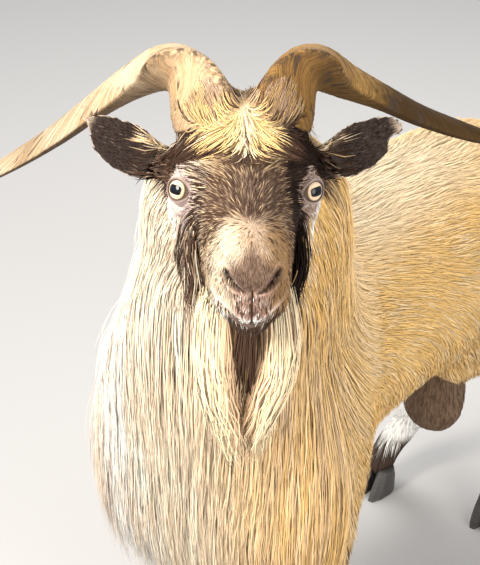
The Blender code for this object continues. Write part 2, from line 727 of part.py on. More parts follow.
def build_goat():
    for old in list(bpy.data.objects):
        bpy.data.objects.remove(old)
    goat = new_collection("goat")
    cutters = new_collection("goat_cutters")

    volumes = trunk_volumes() + neck_volumes() + head_volumes() + tail_volumes()
    for side in (1.0, -1.0):
        volumes += foreleg_volumes(side) + flank_fold_volumes(side)
    volumes += hind_leg_volumes(HIND_FOOT_LEFT, 1.0)
    volumes += hind_leg_volumes(HIND_FOOT_RIGHT, -1.0)
    flesh = merge_volumes("flesh", volumes, goat)
    head, body = part_at_throat(flesh, cutters, goat)
    thin_out(head, HEAD_TRIANGLES)
    soften(body, 16)
    thin_out(body, BODY_TRIANGLES)

    hooves = feet(goat)
    eyes, horns, ears = [], [], []
    for place, side in (("left", 1.0), ("right", -1.0)):
        eyes.append(make_object(f"eye_{place}", ellipsoid(
            "eyeball", head_point(EYE_FORWARD, side * EYE_HALF_SPACING, EYE_RISE),
            (HEAD_FORWARD, HEAD_LEFT, UP), (EYE_RADIUS,) * 3, segments=12), goat))
        horns.append(make_object(f"horn_{place}", horn_mesh(side), goat))
        ears.append(make_object(f"ear_{place}", ear_mesh(side), goat))
    for solid in eyes + horns:
        subtract(head, grown_cutter(solid, GAP, cutters))
    for solid in hooves:
        subtract(body, grown_cutter(solid, GAP, cutters))
    keep_largest_body(head)
    keep_largest_body(body)

    scrotum = make_object("scrotum", scrotum_mesh(), goat)
    mane = merge_volumes("chest_mane", mane_volumes(), goat)
    thin_out(mane, MANE_TRIANGLES)
    beard = []
    for place, side in (("left", 1.0), ("right", -1.0)):
        plume = merge_volumes(f"beard_{place}", beard_volumes(side), goat, voxel=0.003)
        thin_out(plume, BEARD_TRIANGLES)
        beard.append(plume)
    clearances = [grown_cutter(solid, GAP, cutters) for solid in (head, body)]
    soft = [scrotum, mane, *beard, *ears]
    for solid in soft:
        for clearance in clearances:
            subtract(solid, clearance)
        keep_largest_body(solid)
    mane_clearance = grown_cutter(mane, GAP, cutters)
    for plume in beard:
        subtract(plume, mane_clearance)
        keep_largest_body(plume)
    subtract(beard[0], grown_cutter(beard[1], GAP, cutters))
    keep_largest_body(beard[0])

    parts = part_body(body, cutters, goat)
    parts["head"] = head
    for obj in parts.values():
        paint(obj, COAT_CREAM)
    for obj in (mane, *beard):
        paint(obj, COAT_CREAM)
    for obj in ears:
        paint(obj, COAT_DARK)
    for obj in horns:
        paint(obj, HORN_TAN)
    for obj in eyes:
        paint(obj, EYE_AMBER)
    for obj in hooves:
        paint(obj, HOOF_GREY)
    paint(scrotum, SKIN_GREY)
    stand_at_origin(list(parts.values()) + soft + horns + eyes + hooves)


build_goat()
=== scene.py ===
"""Looks for the standing goat: one skin, a coat of solid tufts, eyes, horns, hooves, stage."""

import math

import bmesh
import bpy
import numpy as np
from bpy.props import FloatProperty, FloatVectorProperty, IntProperty, PointerProperty
from mathutils import Matrix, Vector
from mathutils.bvhtree import BVHTree
from mathutils.kdtree import KDTree


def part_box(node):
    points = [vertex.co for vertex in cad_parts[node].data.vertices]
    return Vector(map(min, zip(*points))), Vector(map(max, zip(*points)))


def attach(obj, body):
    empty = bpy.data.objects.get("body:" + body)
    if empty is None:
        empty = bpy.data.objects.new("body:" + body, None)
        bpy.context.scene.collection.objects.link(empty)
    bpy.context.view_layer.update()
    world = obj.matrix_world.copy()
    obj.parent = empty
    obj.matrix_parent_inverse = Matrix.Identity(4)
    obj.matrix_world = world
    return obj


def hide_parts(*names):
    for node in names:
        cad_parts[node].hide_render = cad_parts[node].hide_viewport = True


bl_info = {
    "name": "Standing Goat",
    "version": (1, 0, 0),
    "blender": (4, 5, 0),
    "location": "3D View > Sidebar > Goat",
    "description": "Dresses the goat's solids in skin, coat, horn and eyes on a studio stage",
    "category": "Object",
}

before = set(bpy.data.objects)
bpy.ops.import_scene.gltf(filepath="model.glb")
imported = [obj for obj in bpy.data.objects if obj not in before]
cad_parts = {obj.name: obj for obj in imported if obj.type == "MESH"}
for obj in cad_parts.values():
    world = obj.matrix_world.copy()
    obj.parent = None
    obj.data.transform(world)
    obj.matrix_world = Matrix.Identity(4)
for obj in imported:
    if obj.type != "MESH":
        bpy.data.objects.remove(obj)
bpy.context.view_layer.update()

FLESH = ("head", "neck", "trunk", "tail", "scrotum", "foreleg_left", "foreleg_right",
         "hindleg_left", "hindleg_right", "ear_left", "ear_right")
SIDES = {"left": 1.0, "right": -1.0}


# ---------- where things are

def box_middle(node):
    low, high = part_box(node)
    return (np.array(low) + np.array(high)) / 2


def unit(vector):
    vector = np.asarray(vector, float)
    return vector / np.maximum(np.linalg.norm(vector, axis=-1, keepdims=True), 1e-9)


def angles_round(count):
    """Evenly spaced angles round a full turn."""
    return np.arange(count) * 2 * math.pi / count


WAVE_TURN = 6.28        # a full turn, for waves and random phases
UP = np.array((0.0, 0.0, 1.0))
EYES = {place: box_middle(f"eye_{place}") for place in SIDES}
EYE_RADIUS = float(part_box("eye_left")[1].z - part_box("eye_left")[0].z) / 2
HEAD_LEFT = unit(EYES["left"] - EYES["right"])
HEAD_FORWARD = np.cross(HEAD_LEFT, UP)
HEAD_MIDDLE = (EYES["left"] + EYES["right"]) / 2 - 0.003 * HEAD_FORWARD - 0.002 * UP
# The trunk's own middle on the floor, from which body places are measured.
TRUNK_FOOT = HEAD_MIDDLE - np.array((0.113, -0.404, 0.765))


def head_point(forward, left, up):
    """A place given from the middle between the eyes, along the turned head."""
    return HEAD_MIDDLE + forward * HEAD_FORWARD + left * HEAD_LEFT + up * UP


def body_point(left, back, up):
    """A place given from the trunk's middle on the floor, along the body."""
    return TRUNK_FOOT + np.array((left, back, up))


def in_head(points):
    """The forward, left and up distances of points from the middle between the eyes."""
    offset = points - HEAD_MIDDLE
    return offset @ HEAD_FORWARD, offset @ HEAD_LEFT, offset @ UP


def ramp(value, start, end):
    """A smooth step from 0 at start to 1 at end, which may lie below start."""
    t = np.clip((np.asarray(value, float) - start) / (end - start), 0.0, 1.0)
    return t * t * (3 - 2 * t)


def wobble(points, wavelength, seed):
    """Smooth, repeatable unevenness between about -1 and 1."""
    rng = np.random.default_rng(seed)
    total = np.zeros(len(points))
    for _ in range(6):
        direction = unit(rng.normal(size=3)) * (2 * math.pi / wavelength)
        total += np.sin(points @ direction * rng.uniform(0.7, 1.5) + rng.uniform(0, WAVE_TURN))
    return total / 3.2


def chain_distance(points, chain):
    """Distance to a chain of balls joined by cones, as a share of the local radius."""
    nearest = np.full(len(points), 1e9)
    for (start, start_radius), (end, end_radius) in zip(chain, chain[1:]):
        start, end = np.array(start), np.array(end)
        along = end - start
        t = np.clip((points - start) @ along / (along @ along), 0, 1)
        gap = np.linalg.norm(points - start - t[:, None] * along, axis=1)
        nearest = np.minimum(nearest, gap / (start_radius + t * (end_radius - start_radius)))
    return nearest


# ---------- materials

class Wire:
    """A socket that can be used in sums."""

    def __init__(self, paint, socket):
        self.paint, self.socket = paint, socket

    def math(self, operation, *others):
        return self.paint.node("ShaderNodeMath", {"operation": operation},
                               dict(enumerate((self, *others))))

    def __add__(self, other):
        return self.math("ADD", other)

    def __mul__(self, other):
        return self.math("MULTIPLY", other)

    def __sub__(self, other):
        return self.math("SUBTRACT", other)

    def __rsub__(self, other):
        return self.paint.node("ShaderNodeMath", {"operation": "SUBTRACT"}, {0: other, 1: self})

    def __truediv__(self, other):
        return self.math("DIVIDE", other)

    __radd__ = __add__
    __rmul__ = __mul__

    def vector(self, operation, *others):
        return self.paint.node("ShaderNodeVectorMath", {"operation": operation},
                               dict(enumerate((self, *others))))

    def power(self, other):
        return self.math("POWER", other)

    def step(self, low, high):
        return self.paint.node("ShaderNodeMapRange", {"interpolation_type": "SMOOTHSTEP"},
                               {"Value": self, "From Min": low, "From Max": high})

    def out(self, name):
        return Wire(self.paint, self.socket.node.outputs[name])


class Paint:
    """One material and the nodes that make it."""

    def __init__(self, name):
        self.material = bpy.data.materials.new(name)
        self.material.use_nodes = True
        self.tree = self.material.node_tree
        self.shader = self.tree.nodes["Principled BSDF"]

    def set(self, socket, value):
        if isinstance(value, Wire):
            self.tree.links.new(value.socket, socket)
        elif hasattr(socket.default_value, "__len__") and len(value) == 3 \
                and len(socket.default_value) == 4:
            socket.default_value = (*value, 1.0)
        else:
            socket.default_value = value

    def node(self, kind, settings=None, inputs=None, output=0):
        made = self.tree.nodes.new(kind)
        for key, value in (settings or {}).items():
            setattr(made, key, value)
        for key, value in (inputs or {}).items():
            self.set(made.inputs[key], value)
        return Wire(self, made.outputs[output])

    def attribute(self, name, output="Color"):
        return self.node("ShaderNodeAttribute", {"attribute_name": name}, output=output)

    def mix(self, factor, first, second, blend="MIX"):
        return self.node("ShaderNodeMix", {"data_type": "RGBA", "blend_type": blend},
                         {0: factor, 6: first, 7: second}, output=2)

    def coat_color(self, shade):
        """The mesh's own colours, made lighter and darker by a shade."""
        tone = self.node("ShaderNodeCombineColor", None, {0: shade, 1: shade, 2: shade})
        return self.mix(1.0, self.attribute("coat_color"), tone, blend="MULTIPLY")

    def noise(self, vector, scale, detail=2.0, roughness=0.5):
        return self.node("ShaderNodeTexNoise", None,
                         {"Vector": vector, "Scale": scale, "Detail": detail,
                          "Roughness": roughness})

    def place(self):
        return self.node("ShaderNodeTexCoord", output="Object")

    def stretched(self, vector, scale):
        return vector.vector("MULTIPLY", scale)

    def bump(self, height, distance, strength=1.0):
        return self.node("ShaderNodeBump", None, {"Height": height, "Distance": distance,
                                                  "Strength": strength})

    def finish(self, **inputs):
        for key, value in inputs.items():
            self.set(self.shader.inputs[key.replace("_", " ")], value)
        return self.material


def coat_material():
    """Hair: each tuft's own colour with finer strands along it, shaded partly as the body."""
    paint = Paint("goat_hair")
    strand = paint.node("ShaderNodeUVMap", {"uv_map": "Strand"})
    fine = paint.noise(paint.stretched(strand, (9.0, 1.6, 1.0)), 1.0, detail=2.0)
    shade = fine.step(0.30, 0.72) * 0.26 + 0.87
    color = paint.coat_color(shade)
    own = paint.node("ShaderNodeNewGeometry", output="Normal")
    body = paint.attribute("body_normal", "Vector")
    softened = paint.stretched(own, (0.55, 0.55, 0.55)).vector("ADD", body)
    return paint.finish(Base_Color=color, Roughness=0.62, Specular_IOR_Level=0.05,
                        Normal=softened.vector("NORMALIZE"))


def skin_material():
    """Skin in the coat's colours and lie; the bare nose, lips and lids are leathery."""
    paint = Paint("goat_skin")
    place = paint.place()
    bare = paint.attribute("bare", "Fac")
    hanging = paint.attribute("hanging", "Fac")
    upright = paint.noise(paint.stretched(place, (520.0, 520.0, 24.0)), 1.0, detail=3.0)
    leaning = paint.node("ShaderNodeVectorRotate", {"rotation_type": "X_AXIS"},
                         {"Vector": place, "Angle": math.radians(21)})
    level = paint.noise(paint.stretched(leaning, (460.0, 22.0, 460.0)), 1.0, detail=3.0)
    streaks = upright * hanging + level * (1.0 - hanging)
    pebbles = paint.node("ShaderNodeTexVoronoi", {"feature": "DISTANCE_TO_EDGE"},
                         {"Vector": place, "Scale": 620.0})
    blotches = paint.noise(place, 140.0, detail=3.0)
    shade = (streaks.step(0.32, 0.66) * 0.34 + 0.76) * (1.0 - bare) \
        + (blotches.step(0.25, 0.75) * 0.30 + 0.80) * bare
    color = paint.coat_color(shade)
    relief = pebbles.step(0.0, 0.35) * bare + streaks * (1.0 - bare) * 2.5
    return paint.finish(Base_Color=color, Roughness=0.80 - bare * 0.30,
                        Specular_IOR_Level=0.25, Normal=paint.bump(relief, 0.0004, 0.8))


CRACK_COLOR = (0.05, 0.032, 0.022)


def horn_material(name, pale, deep, tip, painted_top_shade):
    """Horn with slanting growth lines, dark cracks and a darker tip, with painted shade on its
    underside and, by a given share, on the upper side of its outer part.
    """
    paint = Paint(name)
    growth = paint.attribute("growth", "Vector")
    lean = paint.node("ShaderNodeSeparateXYZ", None, {"Vector": growth})
    along = lean.out("Y")
    place = paint.place()
    drift = paint.noise(place, 40.0, detail=3.0)
    bent = lean + drift * 0.012
    line = paint.node("ShaderNodeCombineXYZ", None, {0: bent, 1: along * 0.02})
    grooves = paint.noise(line, 420.0, detail=2.0, roughness=0.6)
    fine = paint.noise(line, 1100.0, detail=3.0, roughness=0.6)
    grain = paint.noise(place, 180.0, detail=4.0, roughness=0.65)
    patches = paint.noise(place, 26.0, detail=3.0)
    underside_shade = paint.attribute("underside_shade", "Fac")
    keel = paint.attribute("keel", "Fac")
    middling = tuple(0.45 * light + 0.55 * dark for light, dark in zip(pale, deep))
    color = paint.mix(along.step(0.045, 0.105), middling, pale)
    color = paint.mix(patches.step(0.36, 0.66) * 0.45, color, deep)
    color = paint.mix(grooves.step(0.48, 0.60) * 0.60, color, deep)
    color = paint.mix(fine.step(0.54, 0.66) * 0.45, color, tip)
    color = paint.mix(grain.step(0.56, 0.74) * 0.30, color, tip)
    # painted shade: the underside takes on the tip's dark colour
    color = paint.mix(underside_shade * (0.40 + 0.5 * drift), color, tip)
    # the outer part darkens towards the tip: partly the horn's own darker tip, partly painted
    # shade, full on the underside and by the given share on top
    shaded = underside_shade * (0.95 - painted_top_shade) + painted_top_shade
    color = paint.mix((along + 0.06 * grain).step(0.125, 0.205) * shaded, color, tip)
    cracks = paint.noise(paint.node("ShaderNodeCombineXYZ", None, {0: lean, 1: along * 0.3}),
                         130.0, detail=1.0)
    cracked = cracks.step(0.60, 0.64) * patches.step(0.44, 0.54)
    color = paint.mix(cracked * 0.8, color, CRACK_COLOR)
    color = paint.mix(keel * grain.step(0.38, 0.58) * 0.9, color, CRACK_COLOR)
    height = grooves.step(0.40, 0.62) * -0.7 + fine * 0.5 + grain * 0.3
    return paint.finish(Base_Color=color, Roughness=0.46 + 0.25 * fine,
                        Specular_IOR_Level=0.13, Normal=paint.bump(height, 0.0010, 1.0))


PUPIL = (0.66, 0.42)        # half its length and its height, against the iris's radius
PUPIL_SQUARENESS = 3.6


def eye_material(iris_color):
    """A wet eye: pale iris with a dark rim round a long level pupil."""
    paint = Paint("goat_eye")
    spot = paint.attribute("iris_place", "Vector")
    parts = paint.node("ShaderNodeSeparateXYZ", None, {"Vector": spot})
    level, upright = parts, parts.out("Y")
    radius = (level * level + upright * upright).power(0.5)
    rays = paint.noise(paint.stretched(spot, (14.0, 14.0, 1.0)), 1.6, detail=4.0)
    pupil_x = (level / PUPIL[0]).math("ABSOLUTE").power(PUPIL_SQUARENESS)
    pupil_y = (upright / PUPIL[1]).math("ABSOLUTE").power(PUPIL_SQUARENESS)
    outside_pupil = (pupil_x + pupil_y).step(0.8, 1.35)
    color = paint.mix(rays.step(0.35, 0.7) * 0.5, iris_color, (0.52, 0.40, 0.18))
    color = paint.mix(radius.step(0.84, 1.0), color, (0.10, 0.065, 0.035))
    color = paint.mix(radius.step(1.02, 1.25), color, (0.16, 0.11, 0.09))
    color = paint.mix(outside_pupil, (0.004, 0.005, 0.008), color)
    return paint.finish(Base_Color=color, Roughness=0.06, Specular_IOR_Level=0.45,
                        IOR=1.38)


def hoof_material(color):
    """Dull dark hoof horn with faint level rings."""
    paint = Paint("goat_hoof")
    place = paint.place()
    rings = paint.noise(paint.stretched(place, (12.0, 12.0, 420.0)), 1.0, detail=3.0)
    mottle = paint.noise(place, 160.0, detail=4.0)
    pale = tuple(2.2 * channel for channel in color)
    shade = paint.mix(rings.step(0.4, 0.75) * 0.5 + mottle.step(0.5, 0.8) * 0.35, color, pale)
    return paint.finish(Base_Color=shade, Roughness=0.5 + 0.3 * mottle,
                        Normal=paint.bump(rings + mottle * 0.5, 0.0006, 0.7))


# ---------- mesh helpers

def mesh_from_arrays(name, points, corners, starts, totals):
    """A mesh from flat arrays: corner indices, and each face's first corner and count."""
    mesh = bpy.data.meshes.new(name)
    mesh.vertices.add(len(points))
    move_points(mesh, points)
    mesh.loops.add(len(corners))
    mesh.loops.foreach_set("vertex_index", corners.astype(np.int32))
    mesh.polygons.add(len(starts))
    mesh.polygons.foreach_set("loop_start", starts.astype(np.int32))
    mesh.polygons.foreach_set("loop_total", totals.astype(np.int32))
    mesh.update(calc_edges=True)
    mesh.validate()
    return mesh


def show(name, mesh, material):
    """Link a finished mesh as an object at the origin."""
    mesh.name = name
    mesh.materials.clear()
    mesh.materials.append(material)
    mesh.shade_smooth()
    obj = bpy.data.objects.new(name, mesh)
    bpy.context.scene.collection.objects.link(obj)
    return obj


def as_mesh(source, name):
    """Turn a bmesh into a mesh and let go of it."""
    mesh = bpy.data.meshes.new(name)
    source.to_mesh(mesh)
    source.free()
    return mesh


def move_points(mesh, points):
    mesh.vertices.foreach_set("co", np.ascontiguousarray(points, np.float32).ravel())


def set_color(mesh, name, colors):
    layer = mesh.attributes.new(name, "FLOAT_COLOR", "POINT")
    padded = np.ones((len(colors), 4), np.float32)
    padded[:, :3] = colors
    layer.data.foreach_set("color", padded.ravel())


def set_values(mesh, name, values):
    layer = mesh.attributes.new(name, "FLOAT", "POINT")
    layer.data.foreach_set("value", np.asarray(values, np.float32))


def set_vectors(mesh, name, vectors):
    layer = mesh.attributes.new(name, "FLOAT_VECTOR", "POINT")
    layer.data.foreach_set("vector", np.asarray(vectors, np.float32).ravel())


def set_map(mesh, name, per_corner):
    layer = mesh.uv_layers.new(name=name, do_init=False)
    layer.uv.foreach_set("vector", np.asarray(per_corner, np.float32).ravel())


def points_of(mesh):
    points = np.empty(len(mesh.vertices) * 3, np.float32)
    mesh.vertices.foreach_get("co", points)
    return points.reshape(-1, 3).astype(float)


def edges_of(mesh):
    ends = np.empty(len(mesh.edges) * 2, np.int32)
    mesh.edges.foreach_get("vertices", ends)
    return ends.reshape(-1, 2)


def spread(values, ends, rounds, strength=0.5):
    """Let each value drift towards the mean of its neighbours along the edges."""
    values = np.array(values, float)
    flat = values.reshape(len(values), -1)
    count = len(flat)
    degree = np.maximum(np.bincount(ends.ravel(), minlength=count), 1)
    share = np.broadcast_to(np.asarray(strength, float), (count,))
    for _ in range(rounds):
        for column in range(flat.shape[1]):
            total = np.bincount(ends[:, 0], flat[ends[:, 1], column], minlength=count)
            total += np.bincount(ends[:, 1], flat[ends[:, 0], column], minlength=count)
            flat[:, column] += share * (total / degree - flat[:, column])
    return flat.reshape(values.shape)


def triangles_of(mesh):
    mesh.calc_loop_triangles()
    corners = np.empty(len(mesh.loop_triangles) * 3, np.int32)
    mesh.loop_triangles.foreach_get("vertices", corners)
    return corners.reshape(-1, 3)


def normals_from(points, triangles):
    a, b, c = (points[triangles[:, index]] for index in range(3))
    face = np.cross(b - a, c - a)
    total = np.zeros_like(points)
    for axis in range(3):
        for index in range(3):
            total[:, axis] += np.bincount(triangles[:, index], face[:, axis],
                                          minlength=len(points))
    return unit(total)


# ---------- swept forms

def through_rows(rows, places):
    """Smooth values through evenly spaced rows, at places from 0 to 1."""
    rows = np.array(rows, float)
    padded = np.vstack((2 * rows[0] - rows[1], rows, 2 * rows[-1] - rows[-2]))
    scaled = np.clip(places, 0, 1) * (len(rows) - 1)
    index = np.minimum(scaled.astype(int), len(rows) - 2)
    t = (scaled - index)[..., None]
    p0, p1, p2, p3 = (padded[index + shift] for shift in range(4))
    return 0.5 * (2 * p1 + (p2 - p0) * t + (2 * p0 - 5 * p1 + 4 * p2 - p3) * t * t
                  + (3 * p1 - p0 - 3 * p2 + p3) * t ** 3)


def ring_mesh(name, rings, closed=False):
    """A closed surface over equal rings of points; open runs get an end cap each."""
    count, points = rings.shape[:2]
    faces = []
    spans = count if closed else count - 1
    for ring in range(spans):
        low, high = ring * points, (ring + 1) % count * points
        for index in range(points):
            following = (index + 1) % points
            faces.append((low + index, low + following, high + following, high + index))
    source = bmesh.new()
    made = [source.verts.new(point) for point in rings.reshape(-1, 3)]
    for face in faces:
        source.faces.new([made[index] for index in face])
    if not closed:
        source.faces.new(made[:points][::-1])
        source.faces.new(made[-points:])
    bmesh.ops.recalc_face_normals(source, faces=source.faces)
    return as_mesh(source, name)


HORN_ROWS = (
    # forward, left, up, long half, short half, twist
    (-0.055, 0.030, 0.028, 0.035, 0.022, -0.78),
    (-0.068, 0.037, 0.054, 0.038, 0.0225, -0.74),
    (-0.087, 0.048, 0.068, 0.0360, 0.0220, -0.62),
    (-0.107, 0.067, 0.066, 0.0300, 0.0205, -0.42),
    (-0.121, 0.095, 0.047, 0.0215, 0.0160, -0.20),
    (-0.130, 0.128, 0.020, 0.0165, 0.0120, 0.00),
    (-0.136, 0.163, -0.010, 0.0130, 0.0098, 0.10),
    (-0.139, 0.200, -0.036, 0.0105, 0.0082, 0.20),
    (-0.142, 0.232, -0.056, 0.0072, 0.0062, 0.20),
    (-0.146, 0.256, -0.066, 0.0030, 0.0028, 0.20),
)
LEFT_HORN_LIFT = 0.029
HORN_POINTS = 40
HORN_STATIONS = 170
SLEEVE_POINTS, SLEEVE_STATIONS = 28, 14
KEEL_WIDTH = 0.36


def horn_form(side, places):
    """Centres, the two turned directions and the half sizes of a horn at shares of it."""
    rows = np.array(HORN_ROWS)
    if side > 0:
        rows[:, 2] += LEFT_HORN_LIFT * np.maximum(0.0, (rows[:, 1] - 0.10) / 0.10)
    rows[:, 1] *= side
    rows[:, 5] *= side
    values = through_rows(rows, places)
    ahead = through_rows(rows, places + 0.004) - through_rows(rows, places - 0.004)
    centers = head_point(values[..., :1], values[..., 1:2], values[..., 2:3])
    tangent = unit(head_point(ahead[..., :1], ahead[..., 1:2], ahead[..., 2:3]) - HEAD_MIDDLE)
    front = unit(HEAD_FORWARD - tangent * (tangent @ HEAD_FORWARD)[..., None])
    inner = np.cross(tangent, front)
    turn = values[..., 5:6]
    turned_front = front * np.cos(turn) + inner * np.sin(turn)
    turned_inner = np.cross(tangent, turned_front)
    return centers, turned_front, turned_inner, values[..., 3:4], values[..., 4:5]


def keel_at(angles):
    """How much of the keel stands at each angle round a horn; its front is at a quarter."""
    return np.exp(-((angles - math.pi / 2) / KEEL_WIDTH) ** 2)


def horn_rings(form, angles, grow=0.0, ridge=1.0):
    """Rings of a keeled horn, grown by a little for the skin that climbs it."""
    centers, long_way, short_way, long_half, short_half = form
    across = np.cos(angles)[:, None]
    forward = np.sin(angles)[:, None]
    keel = keel_at(angles)[:, None]
    long_reach = forward * (long_half * (1 + 0.10 * keel) * ridge + grow)
    short_reach = across * (short_half * (1 - 0.25 * np.maximum(0, forward)) * ridge + grow)
    return centers + long_way * long_reach + short_way * short_reach


def horn_sleeve(side):
    """The haired skin that climbs a horn's root, highest at the front and inner sides."""
    angles = angles_round(SLEEVE_POINTS)
    top = 0.176 + 0.040 * np.sin(angles) - 0.022 * np.cos(angles) * side
    share = np.linspace(0, 1, SLEEVE_STATIONS)
    grow = 0.0024 - 0.0030 * ramp(share, 0.45, 1.0)[:, None, None]
    return horn_rings(horn_form(side, share[:, None] * top[None]), angles, grow)


def horn_mesh(side):
    """A keeled horn with shallow growth ridges, and the measures its finish needs."""
    form = horn_form(side, np.linspace(0.02, 1, HORN_STATIONS))
    centers = form[0]
    angles = angles_round(HORN_POINTS)
    steps = np.linalg.norm(np.diff(centers, axis=0), axis=1)
    along = np.concatenate(([0.0], np.cumsum(steps)))
    lean = along[:, None] - 0.030 * np.sin(angles)[None] + 0.010 * np.cos(angles)[None]
    rng = np.random.default_rng(9)
    waves = sum(np.sin(lean * 2 * math.pi / wave + rng.uniform(0, WAVE_TURN))
                for wave in (0.0150, 0.0083, 0.0047))
    fade = ramp(along, 0.34, 0.12)[:, None]
    ridge = 1 + 0.006 * waves * (0.3 + 0.7 * fade)
    rings = horn_rings([part[:, None] for part in form], angles, ridge=ridge[..., None])
    mesh = ring_mesh("horn", rings)
    growth = np.stack((lean, np.repeat(along[:, None], HORN_POINTS, axis=1),
                       np.tile(np.sin(angles), (HORN_STATIONS, 1))), axis=2)
    set_vectors(mesh, "growth", growth)
    normals = normals_from(points_of(mesh), triangles_of(mesh))
    # painted shade: how much each point faces down
    set_values(mesh, "underside_shade", ramp(normals[:, 2], 0.30, -0.40))
    root = np.repeat(ramp(along, 0.15, 0.05), HORN_POINTS)
    set_values(mesh, "keel", np.tile(keel_at(angles), HORN_STATIONS) * root)
    return mesh


# ---------- the skin

# The head's ball is swollen by the factor, so an even grain comes out finer there.
FINE_MIDDLE = head_point(0.020, 0.0, -0.030)
FINE_RADIUS = 0.150
FINE_FACTOR = 3.1
SKIN_GRAIN = 0.0074
WELD = 1e-5
OVERLAP = 0.0008


def swollen(points):
    """Swell the head so that one even grain makes it finer than the body."""
    offset = points - FINE_MIDDLE
    reach = np.linalg.norm(offset, axis=1)
    grown = np.where(reach < FINE_RADIUS, FINE_FACTOR * reach,
                     FINE_FACTOR * FINE_RADIUS + reach - FINE_RADIUS)
    return FINE_MIDDLE + offset * (grown / np.maximum(reach, 1e-9))[:, None]


def unswollen(points):
    """Take the swelling back."""
    offset = points - FINE_MIDDLE
    reach = np.linalg.norm(offset, axis=1)
    limit = FINE_FACTOR * FINE_RADIUS
    shrunk = np.where(reach < limit, reach / FINE_FACTOR, reach - limit + FINE_RADIUS)
    return FINE_MIDDLE + offset * (shrunk / np.maximum(reach, 1e-9))[:, None]


def node_mesh(node, grow):
    """A welded copy of a solid, grown outwards a little so that neighbours overlap."""
    part = bmesh.new()
    part.from_mesh(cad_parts[node].data)
    bmesh.ops.remove_doubles(part, verts=part.verts, dist=WELD)
    bmesh.ops.recalc_face_normals(part, faces=part.faces)
    part.normal_update()
    for vertex in part.verts:
        vertex.co += vertex.normal * grow
    return part


def take_in(whole, mesh):
    """Add a mesh to a bmesh and remove it."""
    whole.from_mesh(mesh)
    bpy.data.meshes.remove(mesh)


def largest_body(source):
    """Keep only the outer closed body of a bmesh."""
    source.verts.ensure_lookup_table()
    unseen = set(range(len(source.verts)))
    best = set()
    while unseen:
        pending = [unseen.pop()]
        group = set(pending)
        while pending:
            for edge in source.verts[pending.pop()].link_edges:
                for end in edge.verts:
                    if end.index in unseen:
                        unseen.discard(end.index)
                        group.add(end.index)
                        pending.append(end.index)
        if len(group) > len(best):
            best = group
    spare = [vertex for vertex in source.verts if vertex.index not in best]
    bmesh.ops.delete(source, geom=spare, context="VERTS")


def merged_skin():
    """The flesh and the mass of the mane fused into one even, closed surface."""
    whole = bmesh.new()
    for node in FLESH + ("chest_mane", "eye_left", "eye_right"):
        take_in(whole, as_mesh(node_mesh(node, OVERLAP), node))
    for side in SIDES.values():
        take_in(whole, ring_mesh("sleeve", horn_sleeve(side)))
    mesh = as_mesh(whole, "skin")
    move_points(mesh, swollen(points_of(mesh)))
    obj = bpy.data.objects.new("skin_mass", mesh)
    bpy.context.scene.collection.objects.link(obj)
    remesh = obj.modifiers.new("fuse", "REMESH")
    remesh.mode = "VOXEL"
    remesh.voxel_size = SKIN_GRAIN
    bpy.context.view_layer.update()
    graph = bpy.context.evaluated_depsgraph_get()
    fused = bpy.data.meshes.new_from_object(obj.evaluated_get(graph))
    bpy.data.objects.remove(obj)
    move_points(fused, unswollen(points_of(fused)))
    source = bmesh.new()
    source.from_mesh(fused)
    largest_body(source)
    finer_face(source)
    source.to_mesh(fused)
    source.free()
    return fused


def finer_face(source):
    """Halve the grain over the nose and lips and around the eyes."""
    spots = [(head_point(0.122, 0.0, -0.026), 0.040)]
    spots += [(EYES[place], 0.022) for place in SIDES]
    edges = set()
    for vertex in source.verts:
        place = np.array(vertex.co)
        if any(np.linalg.norm(place - middle) < radius for middle, radius in spots):
            edges.update(vertex.link_edges)
    bmesh.ops.subdivide_edges(source, edges=list(edges), cuts=1, use_grid_fill=True)
    wide = [face for face in source.faces if len(face.verts) > 4]
    bmesh.ops.triangulate(source, faces=wide)


EAR_LENGTH = 0.098


def ear_frame(side):
    """An ear's root, the way to its tip, and the way its hollow faces."""
    root = head_point(-0.040, side * 0.054, -0.001)
    tip = head_point(-0.072, side * 0.142, 0.034)
    along = unit(tip - root)
    facing = HEAD_FORWARD * 0.93 + UP * 0.20 + HEAD_LEFT * side * 0.10
    facing = unit(facing - along * facing.dot(along))
    return root, along, facing


class Surface:
    """The skin's points with everything that the coat needs to know about them."""

    def __init__(self, mesh):
        self.mesh = mesh
        self.ends = edges_of(mesh)
        self.triangles = triangles_of(mesh)
        self.points = points_of(mesh)
        self.measure()

    def measure(self):
        """The points' normals, and their places on the head and against the trunk."""
        self.normals = normals_from(self.points, self.triangles)
        self.f, self.l, self.u = in_head(self.points)
        self.side = np.abs(self.l)
        self.x, self.y, self.z = (self.points - TRUNK_FOOT).T

    def write(self):
        move_points(self.mesh, self.points)
        self.mesh.update()

    def index(self):
        self.tree = KDTree(len(self.points))
        for number, point in enumerate(self.points):
            self.tree.insert(point, number)
        self.tree.balance()

    def nearest(self, points):
        find = self.tree.find
        return np.fromiter((find(point)[1] for point in points), np.int64, len(points))


